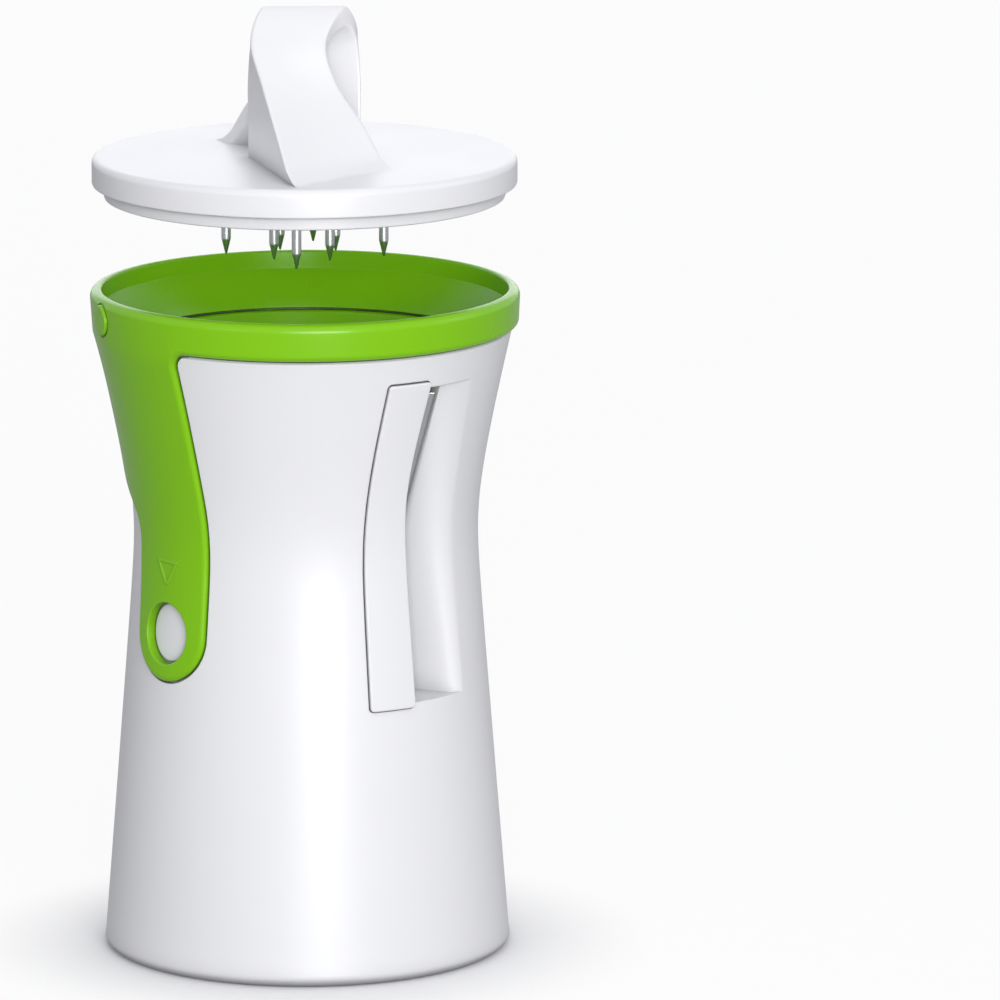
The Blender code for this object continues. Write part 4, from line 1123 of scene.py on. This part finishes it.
def window_room(half_turn):
    def outline(z):
        deep = edge_distance(z) - DEEP
        corner = (LAND_END + GAP, blade_plane(LAND_END + GAP, z))
        line = ramp_line(z)[1:]
        return [(-WINDOW_UPSTREAM, deep), (LAND_END + GAP, deep), corner, *line,
                (line[-1].x, FAR_OUT), (-WINDOW_UPSTREAM, FAR_OUT)]

    return drawn_in_window("room", half_turn, steps(WINDOW_BOTTOM, WINDOW_TOP, 24), outline)


def window_block(half_turn):
    left = -WINDOW_UPSTREAM - DUCT_WALL

    def outline(z):
        deep = edge_distance(z) - DEEP
        back = moved_aside(ramp_line(z)[:-1], DUCT_WALL)
        return [(left, deep), (back[0].x, deep), *back, (back[-1].x, FAR_OUT), (left, FAR_OUT)]

    heights = steps(WINDOW_BOTTOM - DUCT_WALL, WINDOW_TOP + DUCT_WALL, 24)
    return drawn_in_window("block", half_turn, heights, outline)


def lift_notch(half_turn):
    """The notch above a window that lets the cone be lifted out with its blades."""
    near = edge_distance(WINDOW_TOP) - DEEP
    far = housing_radius(WINDOW_TOP) - WALL
    left, right = -BLADE_EDGE_UPSTREAM - GAP, LAND_END + GAP
    outline = [(left, near), (right, near), (right, far), (left, far)]
    return pushed("notch", outline, BLADE_TOP, CONE_TOP,
                  lambda u, d, z: in_window(half_turn, u, d, z))


def cone_room():
    flange = housing_radius(FLANGE_BOTTOM) - WALL
    wall = CONE_WALL_ACROSS + GAP / cos(CONE_SLOPE)
    low, shelf = CONE_BOTTOM - GAP, FLANGE_BOTTOM - GAP
    return spun("cone_room", [
        (0, low - 15 * MM), (cone_radius(low) + wall, low - 15 * MM), (cone_radius(low) + wall, low),
        (cone_radius(shelf) + wall, shelf), (flange, shelf), (flange, RIM_HEIGHT), (0, RIM_HEIGHT)])


print("the ramp's line has", len(ramp_line(WINDOW_TOP)), "points")

# %% Housing: the shell
FOOT_ROUND = (2.2 * MM, 2.7 * MM)
FOOT_RIM = FOOT_RADIUS - 5.2 * MM
FOOT_RIM_HEIGHT = 2.4 * MM
LIP_ROUND, LIP_INNER_ROUND = 0.5 * MM, 0.4 * MM


def shell_outside():
    across, up = FOOT_ROUND
    foot = arc((FOOT_RADIUS - across, up), across, up, -pi / 2, -pi / 12, 5)
    heights = steps(up, WAIST_HEIGHT, 26) + steps(WAIST_HEIGHT, HOUSING_HEIGHT - LIP_ROUND, 16)[1:]
    return foot + [(housing_radius(z), z) for z in heights]


def shell_inside():
    return [(MOUTH_RADIUS - LIP_ROUND, HOUSING_HEIGHT),
            (MOUTH_RADIUS - WALL + LIP_INNER_ROUND, HOUSING_HEIGHT)] + [
        (housing_radius(z) - WALL, z)
        for z in steps(HOUSING_HEIGHT - LIP_INNER_ROUND, FOOT_RIM_HEIGHT, 34)] + [
        (FOOT_RIM, FOOT_RIM_HEIGHT), (FOOT_RIM, 0.4 * MM), (FOOT_RIM + 0.4 * MM, 0)]


def make_shell():
    shell = spun("shell", shell_outside() + shell_inside())
    blocks = window_block(False)
    mated(blocks, window_block(True), "UNION")
    full = spun("full", shell_outside() + [(0, HOUSING_HEIGHT - LIP_ROUND), (0, 0)])
    mated(blocks, full, "INTERSECT")
    mated(blocks, cone_room(), "DIFFERENCE")
    mated(shell, blocks, "UNION")
    for half_turn in (False, True):
        mated(shell, window_room(half_turn), "DIFFERENCE")
        mated(shell, lift_notch(half_turn), "DIFFERENCE")
    return shell


shell = make_shell()
print("shell with windows", len(shell.data.polygons), "faces")

# %% Housing: beds for the arms and the fins, and the snap lugs
BED_RISE = 6 * MM
ARM_PLAY = 0.5 * MM
ARM_BED_DEPTH = 1.2 * MM + GAP
FIN_BED_DEPTH = 0.9 * MM + GAP
LUG_DEPTH = 0.9 * MM
LUG_HEIGHT = 1.4 * MM
LUG_ROUND = 0.4 * MM


def rolled_bed(name, outline, depth, rows):
    """A cutter that follows the housing, from the bed's floor to outside the skin."""
    bed = pushed(name, outline, 1.0 * MM, 0.0, laid_flat)
    along, up = zip(*outline)
    count = max(2, int((max(along) - min(along)) / (2.0 * MM)))
    slice_up(bed, steps(min(along), max(along), count)[1:-1], ACROSS)
    slice_up(bed, steps(min(up), max(up), rows)[1:-1], UPRIGHT)
    return rolled(bed, lambda z: housing_radius(z) + BED_RISE,
                  lambda z: (depth + BED_RISE) / (1.0 * MM))


def arm_bed(sign):
    """The arm's own outline, a gap wider all round and open at the top."""
    right = flat_on_arm(1, arm_line())
    top = BAND_BOTTOM + 8 * MM
    outline = inset_outline(right + [(right[-1][0], top), (right[0][0], top)], -ARM_PLAY)
    if sign < 0:
        outline = [(-along, z) for along, z in reversed(outline)]
    return rolled_bed("arm_bed", outline, ARM_BED_DEPTH, 40)


def fin_bed(half_turn):
    bed = rolled_bed("fin_bed", inset_outline(flat_fin(), -GAP), FIN_BED_DEPTH, 30)
    return turned_round(bed, half_turn)


def snap_lug(sign):
    """A low round button of the housing that snaps into the arm's hole."""
    radius = ARM_HOLE_RADIUS - GAP
    outline = flat_on_arm(sign, circle((0.0, ARM_HOLE_HEIGHT), radius, 48))
    lug = pushed("lug", outline, LUG_HEIGHT, 0.0, laid_flat)
    rounded_edges(lug, is_outer, LUG_ROUND, 3)
    centre = sign * (pi / 2) * ROLL_RADIUS
    slice_up(lug, steps(centre - 9 * MM, centre + 9 * MM, 10), ACROSS)
    slice_up(lug, steps(ARM_HOLE_HEIGHT - radius, ARM_HOLE_HEIGHT + radius, 8)[1:-1], UPRIGHT)
    return rolled(lug, lambda z: housing_radius(z) - LUG_DEPTH, lambda z: 1.0)


def finish_housing(shell):
    for sign in (-1, 1):
        mated(shell, arm_bed(sign), "DIFFERENCE")
        mated(shell, fin_bed(sign > 0), "DIFFERENCE")
        mated(shell, snap_lug(sign), "UNION")
    smooth_finish(shell)
    hand_over(shell, "hourglass_housing", "white_plastic", "housing", "outer_body")


finish_housing(shell)

# %% [markdown]
# ## The cap
# The disc and its twisted strap are one moulding. The strap is drawn through cross-sections
# that rise from a slanted foot, twist into a level bar and come down again half a turn
# round. Its broad face runs out into the disc in a soft fillet, so no line shows there,
# while its narrow face meets the disc in a crisp one.

# %% Cap: sizes
CAP_RADIUS = RIM_RADIUS - 0.7 * MM
CAP_DEPTH = 6.5 * MM
CAP_EDGE = 1.6 * MM
CAP_WALL = 2.4 * MM
cap_low, cap_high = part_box("cap")
CAP_TOP = cap_low.z + CAP_DEPTH
HANDLE_HEIGHT = cap_high.z - CAP_TOP
HANDLE_BAR = 18.8 * MM
HANDLE_BAR_DEPTH = 5.0 * MM
HANDLE_TURN = radians(-39)
FOOT_TIP = CAP_RADIUS - 2.7 * MM
FOOT_SIDE = Vector((18.9 * MM, 19.3 * MM))
FOOT_HEEL = Vector((-12.9 * MM, 2.3 * MM))
FOOT_SINK = -1.2 * MM
FOOT_FILLET = 3.5 * MM
HANDLE_EDGE = 0.9 * MM
print("cap top", CAP_TOP, "handle", HANDLE_HEIGHT)

# %% Cap: the strap's cross-sections


def strap_rails():
    """The four edges of the strap from its front foot to just below the bar."""
    high = HANDLE_HEIGHT
    side, heel = FOOT_SIDE, FOOT_HEEL
    crease = [(-2.7 * MM, FOOT_TIP, FOOT_SINK), (-6.2 * MM, FOOT_TIP * 0.68, high * 0.27),
              (-9.4 * MM, FOOT_TIP * 0.40, high * 0.54), (-12.2 * MM, FOOT_TIP * 0.17, high * 0.80)]
    outer = [(side.x, side.y, FOOT_SINK), (side.x * 0.72, side.y * 0.80, high * 0.26),
             (side.x * 0.39, side.y * 0.60, high * 0.53), (side.x * 0.26, side.y * 0.40, high * 0.79)]
    inner = [(side.x - 2.2 * MM, side.y - 4.2 * MM, FOOT_SINK),
             (side.x * 0.65, side.y * 0.56, high * 0.26),
             (side.x * 0.38, side.y * 0.36, high * 0.51), (side.x * 0.28, side.y * 0.19, high * 0.73)]
    back = [(heel.x, heel.y, FOOT_SINK), (heel.x, heel.y * 1.2, high * 0.26),
            (heel.x, heel.y * 1.5, high * 0.52), (heel.x * 0.93, heel.y * 1.3, high * 0.76)]
    return [crease, outer, inner, back]


def strap_corners():
    """The four corners of every cross-section; the rear leg is the front one half a turn on."""
    crease, outer, inner, back = strap_rails()
    low = HANDLE_HEIGHT - HANDLE_BAR_DEPTH
    bar = [(-HANDLE_BAR / 2, 0.0, HANDLE_HEIGHT), (HANDLE_BAR / 2, 0.0, HANDLE_HEIGHT),
           (HANDLE_BAR / 2, 0.0, low), (-HANDLE_BAR / 2, 0.0, low)]
    lines = []
    for rail, middle, partner in zip([crease, outer, inner, back], bar, [outer, crease, back, inner]):
        rear = [(-x, -y, z) for x, y, z in reversed(partner)]
        lines.append(smooth_line(rail + [middle] + rear, 12))
    return [[Vector((x, -y, z)) for x, y, z in corners] for corners in zip(*lines)]


def filleted(corners):
    """Spread the broad face's two corners where the strap runs out into the disc."""
    along = (corners[1] - corners[0]).to_2d().normalized()
    outwards = Vector((along.y, -along.x))
    if outwards.dot(corners[0].to_2d() + corners[1].to_2d()) < 0:
        outwards = -outwards
    spread = list(corners)
    for i in (0, 1):
        room = CAP_RADIUS - CAP_EDGE - corners[i].to_2d().length
        radius = min(FOOT_FILLET, 0.8 * room)
        fall = clamped(1.0 - (corners[i].z + 0.1 * MM) / radius)
        shift = outwards * radius * (1.0 - sqrt(1.0 - fall ** 2))
        spread[i] = corners[i] + Vector((shift.x, shift.y, 0.0))
    return spread


def rounded_ring(corners):
    """The cross-section with rounded corners and a few points along its broad sides."""
    def near(corner, other):
        return corner + (other - corner) * min(0.25, HANDLE_EDGE / (other - corner).length)

    ring = []
    for i, corner in enumerate(corners):
        before, after = corners[i - 1], corners[(i + 1) % 4]
        end = near(corner, after)
        ring += quadratic(near(corner, before), corner, end, 4)
        if i % 2 == 0:
            ring += [between(end, near(after, corner), t) for t in (0.25, 0.5, 0.75)]
    return [tuple(point) for point in ring]


print("strap has", len(strap_corners()), "cross-sections")

# %% Cap: the disc and the strap together
PLATE_RECESS = 2.4 * MM
PLATE_THICKNESS = 2.1 * MM
GUIDE_PROUD = 3.1 * MM
GUIDE_WALL = 2.2 * MM
PLATE_DEPTH = CAP_DEPTH + GUIDE_PROUD - PLATE_RECESS - PLATE_THICKNESS
PLATE_RADIUS = CAP_RADIUS - CAP_WALL - GUIDE_WALL - 2 * GAP
SCREW_CIRCLE = PLATE_RADIUS - 13.1 * MM
SCREW_RADIUS = 1.2 * MM
BOSS_RADIUS = 3.4 * MM
HOLE_PLAY = 0.1 * MM
HOLE_TOP = -1.2 * MM


def raised(profile):
    """A profile given from the cap's top face, as (radius, height)."""
    return [(radius, CAP_TOP + z) for radius, z in profile]


def rod(name, radius, top, bottom, sides):
    return spun(name, raised([(0, top), (radius, top), (radius, bottom), (0, bottom)]), sides)


def moved(item, x, y):
    item.data.transform(Matrix.Translation((x, y, 0)))
    return item


def on_circle(radius, count, half=0.0):
    angles = [2 * pi * (i + half) / count for i in range(count)]
    return [(radius * cos(angle), radius * sin(angle)) for angle in angles]


def make_cap():
    inside = CAP_RADIUS - CAP_WALL
    rim = arc((CAP_RADIUS - CAP_EDGE, -CAP_EDGE), CAP_EDGE, CAP_EDGE, pi / 2, 0.0, 8)
    foot = soft_corner(CAP_RADIUS, -CAP_DEPTH, -0.5 * MM, 0.5 * MM)
    foot += [(inside + 0.3 * MM, -CAP_DEPTH), (inside, -CAP_DEPTH + 0.3 * MM),
             (inside, -CAP_WALL), (0.0, -CAP_WALL)]
    disc = spun("disc", raised([(0.0, 0.0), (CAP_RADIUS * 0.5, 0.0)] + rim + foot))
    for x, y in on_circle(SCREW_CIRCLE, 3):
        boss = rod("boss", BOSS_RADIUS, -CAP_WALL * 0.7, GAP - PLATE_DEPTH, 48)
        mated(disc, moved(boss, x, y), "UNION")
        hole = rod("hole", SCREW_RADIUS + HOLE_PLAY, HOLE_TOP, -CAP_DEPTH, 32)
        mated(disc, moved(hole, x, y), "DIFFERENCE")
    rings = [rounded_ring(filleted(corners)) for corners in strap_corners()]
    strap = drawn_through("strap", rings)
    strap.data.transform(Matrix.Translation((0, 0, CAP_TOP)) @ Matrix.Rotation(HANDLE_TURN, 4, "Z"))
    mated(disc, strap, "UNION")
    smooth_finish(disc, 35)
    hand_over(disc, "cap_with_handle", "white_plastic", "press_cap", "cap")


make_cap()

# %% [markdown]
# ## Under the cap
# A stepped ring drops into the collar and guides the cap. A plate closes the cap and traps
# the heads of eight steel prongs, which hold the vegetable, and three screws hold the plate.
# Each kind is modelled once and copied with a mesh of its own.

# %% Guide ring and prong plate
GUIDE_FLANGE = 1.8 * MM
PRONG_RADIUS = 1.1 * MM
PRONG_LENGTH = 16.0 * MM
PRONG_PLACES = on_circle(9.0 * MM, 4) + on_circle(18.0 * MM, 4, 0.5)
SCREW_PLACES = on_circle(SCREW_CIRCLE, 3)


def make_guide_ring():
    outside = CAP_RADIUS - CAP_WALL - GAP
    inside = outside - GUIDE_WALL
    low = -CAP_DEPTH - GUIDE_PROUD
    flange = GAP - PLATE_DEPTH
    ring = spun("ring", raised(
        [(outside, -CAP_WALL - GAP), (inside - GUIDE_FLANGE, -CAP_WALL - GAP),
         (inside - GUIDE_FLANGE, flange), (inside, flange)]
        + soft_corner(inside, low, 0.4 * MM, 0.4 * MM)
        + soft_corner(outside, low, -0.6 * MM, 0.6 * MM)[::-1]))
    smooth_finish(ring)
    hand_over(ring, "guide_ring", "white_plastic", "press_ring", "cap_guide_ring")


def make_plate():
    low = -PLATE_DEPTH - PLATE_THICKNESS
    plate = spun("plate", raised(
        [(0, -PLATE_DEPTH), (PLATE_RADIUS - 0.2 * MM, -PLATE_DEPTH),
         (PLATE_RADIUS, -PLATE_DEPTH - 0.2 * MM)]
        + soft_corner(PLATE_RADIUS, low, -0.5 * MM, 0.5 * MM) + [(0, low)]))
    for places, radius in ((PRONG_PLACES, PRONG_RADIUS), (SCREW_PLACES, SCREW_RADIUS)):
        wide = radius + HOLE_PLAY
        for x, y in places:
            hole = spun("hole", raised([(0, 0), (wide, 0), (wide, low + 0.25 * MM),
                                        (wide + 0.3 * MM, low - 0.05 * MM), (0, low - 0.05 * MM)]), 32)
            mated(plate, moved(hole, x, y), "DIFFERENCE")
    smooth_finish(plate)
    hand_over(plate, "plate", "white_plastic", "press_cap", "prong_plate")


make_guide_ring()
make_plate()

# %% Prongs and screws
PRONG_POINT = 0.25 * MM
PRONG_HEAD = (2.2 * MM, 0.8 * MM)
SCREW_HEAD = (2.6 * MM, 1.2 * MM)
CROSS = (1.35 * MM, 0.32 * MM)


def copies(item, places):
    """Copies of a piece, each with a mesh of its own, at places round the axis."""
    result = []
    for x, y in places:
        twin = item.copy()
        twin.data = item.data.copy()
        bpy.context.collection.objects.link(twin)
        result.append(moved(twin, x, y))
    bpy.data.objects.remove(item)
    return result


def make_prong():
    top = GAP - PLATE_DEPTH
    end = -PLATE_DEPTH - PLATE_THICKNESS - PRONG_LENGTH
    wide, high = PRONG_HEAD
    point = arc((0.0, end + PRONG_POINT), PRONG_POINT, PRONG_POINT, -pi / 2, -0.3, 4)
    prong = spun("prong", raised(point + [
        (PRONG_RADIUS - 0.1 * MM, end + 3.3 * MM), (PRONG_RADIUS, end + 3.7 * MM),
        (PRONG_RADIUS, end + 9 * MM), (PRONG_RADIUS, top), (wide, top), (wide, top + high),
        (0, top + high)]), 32)
    smooth_finish(prong)
    return prong


def make_screw():
    under = -PLATE_DEPTH - PLATE_THICKNESS - GAP
    wide, high = SCREW_HEAD
    low = CAP_TOP + under - high - 0.3 * MM
    dome = arc((0.0, under - 0.3 * MM), wide, high, 0.0, -pi / 2, 8)
    screw = spun("screw", raised([
        (0, -1.5 * MM), (SCREW_RADIUS * 0.6, -1.5 * MM), (SCREW_RADIUS, -2.1 * MM),
        (SCREW_RADIUS, under), (wide - 0.1 * MM, under), (wide, under - 0.1 * MM)] + dome), 48)
    for across, deep in (CROSS, CROSS[::-1]):
        outline = [(-across, -deep), (across, -deep), (across, deep), (-across, deep)]
        slot = pushed("slot", outline, low - 0.2 * MM, low + 0.8 * MM, lambda x, y, z: (x, y, z))
        mated(screw, slot, "DIFFERENCE")
    smooth_finish(screw)
    return screw


for i, prong in enumerate(copies(make_prong(), PRONG_PLACES), 1):
    hand_over(prong, f"steel_prong_{i}", "blade_steel", "press_cap", f"prong_{i}")
for i, screw in enumerate(copies(make_screw(), SCREW_PLACES), 1):
    hand_over(screw, f"cross_screw_{i}", "screw_steel", "press_cap", f"plate_screw_{i}")

# %% [markdown]
# ## The cutting cone
# The cone that the vegetable turns in hangs by a thin flange. It has two slots. Beside each
# slot lies a flat land that the blade rests on, and two small pegs on the land hold it.
# The cone is spun first. Lands, slots and pegs are joined or cut afterwards, because they
# follow the blade's slanted plane and not the cone's own line.

# %% Cutting cone: seats for the blades
BLADE_THICKNESS = 0.7 * MM
SEAT_DEPTH = BLADE_THICKNESS + GAP
PEG_RADIUS = 1.2 * MM
PEG_SINK, PEG_PROUD = 0.8 * MM, 0.5 * MM
PEG_SHARE = 0.30
BLADE_BACK = LAND_END - GAP
BLADE_NORMAL = Vector((-sin(BLADE_ANGLE), -cos(BLADE_ANGLE) * cos(EDGE_LEAN),
                       -cos(BLADE_ANGLE) * sin(EDGE_LEAN)))


def seat_plane(u, z):
    """The plane that the blade rests on, a gap under its lower face."""
    return blade_plane(u, z) - SEAT_DEPTH / (cos(BLADE_ANGLE) * cos(EDGE_LEAN))


def cone_land(half_turn):
    start = LAND_END * 0.35

    def outline(z):
        inner = cone_radius(z) + CONE_WALL_ACROSS * 0.15
        return [(start, seat_plane(start, z)), (LAND_END, seat_plane(LAND_END, z)),
                (LAND_END, sqrt(inner ** 2 - LAND_END ** 2)), (start, sqrt(inner ** 2 - start ** 2))]

    return drawn_in_window("land", half_turn, steps(WINDOW_BOTTOM + GAP, BLADE_TOP, 8), outline)


def cone_slot(half_turn):
    def outline(z):
        return [(-WINDOW_UPSTREAM, edge_distance(z) - DEEP),
                (-BLADE_EDGE_UPSTREAM, seat_plane(-BLADE_EDGE_UPSTREAM, z)),
                (LAND_END + GAP, seat_plane(LAND_END + GAP, z)),
                (LAND_END + GAP, FAR_OUT), (-WINDOW_UPSTREAM, FAR_OUT)]

    return drawn_in_window("slot", half_turn, (WINDOW_BOTTOM, WINDOW_TOP), outline)


def cone_peg(half_turn, z):
    u = BLADE_BACK - 2.2 * PEG_RADIUS
    foot = Vector((u, -seat_plane(u, z), z))
    high = BLADE_THICKNESS + GAP + PEG_PROUD
    peg = spun("peg", [(0, -PEG_SINK), (PEG_RADIUS, -PEG_SINK), (PEG_RADIUS, high - 0.2 * MM),
                       (PEG_RADIUS - 0.2 * MM, high), (0, high)], 32)
    tilt = Vector((0, 0, 1)).rotation_difference(BLADE_NORMAL).to_matrix().to_4x4()
    peg.data.transform(Matrix.Translation(foot) @ tilt)
    return turned_round(peg, half_turn)


print("blade seats start at", round(seat_plane(-BLADE_EDGE_UPSTREAM, WINDOW_BOTTOM), 4))

# %% Cutting cone: the cone itself


def cone_profile():
    flange = housing_radius(FLANGE_BOTTOM) - WALL - GAP
    inside = [(cone_radius(z), z) for z in steps(CONE_TOP - 0.3 * MM, CONE_BOTTOM + 0.3 * MM, 12)]
    tip = cone_radius(CONE_BOTTOM)
    outer_tip = tip + CONE_WALL_ACROSS
    return [
        (outer_tip - 0.3 * MM, CONE_BOTTOM), (outer_tip, CONE_BOTTOM + 0.3 * MM),
        (cone_radius(FLANGE_BOTTOM) + CONE_WALL_ACROSS, FLANGE_BOTTOM),
        (flange - 0.2 * MM, FLANGE_BOTTOM), (flange, FLANGE_BOTTOM + 0.2 * MM),
        (flange, CONE_TOP - 0.3 * MM), (flange - 0.3 * MM, CONE_TOP),
        (cone_radius(CONE_TOP) + 0.5 * MM, CONE_TOP)] + inside + [(tip + 0.3 * MM, CONE_BOTTOM)]


def make_cone():
    cone = spun("cone", cone_profile())
    middle = between(WINDOW_BOTTOM, WINDOW_TOP, 0.5)
    reach = (WINDOW_TOP - WINDOW_BOTTOM) * PEG_SHARE
    for half_turn in (False, True):
        mated(cone, cone_land(half_turn), "UNION")
    for half_turn in (False, True):
        mated(cone, cone_slot(half_turn), "DIFFERENCE")
    for half_turn in (False, True):
        mated(cone, cone_peg(half_turn, middle - reach), "UNION")
        mated(cone, cone_peg(half_turn, middle + reach), "UNION")
    smooth_finish(cone)
    hand_over(cone, "cutting_cone", "green_plastic", "housing", "funnel")


make_cone()

# %% Give every solid its finish


def dress_solids():
    for part in frame["record"]["subparts"]:
        item = frame["nodes"][part["node"]]
        item.data.materials.clear()
        item.data.materials.append(FINISHES[part["material_slot"]])


dress_solids()
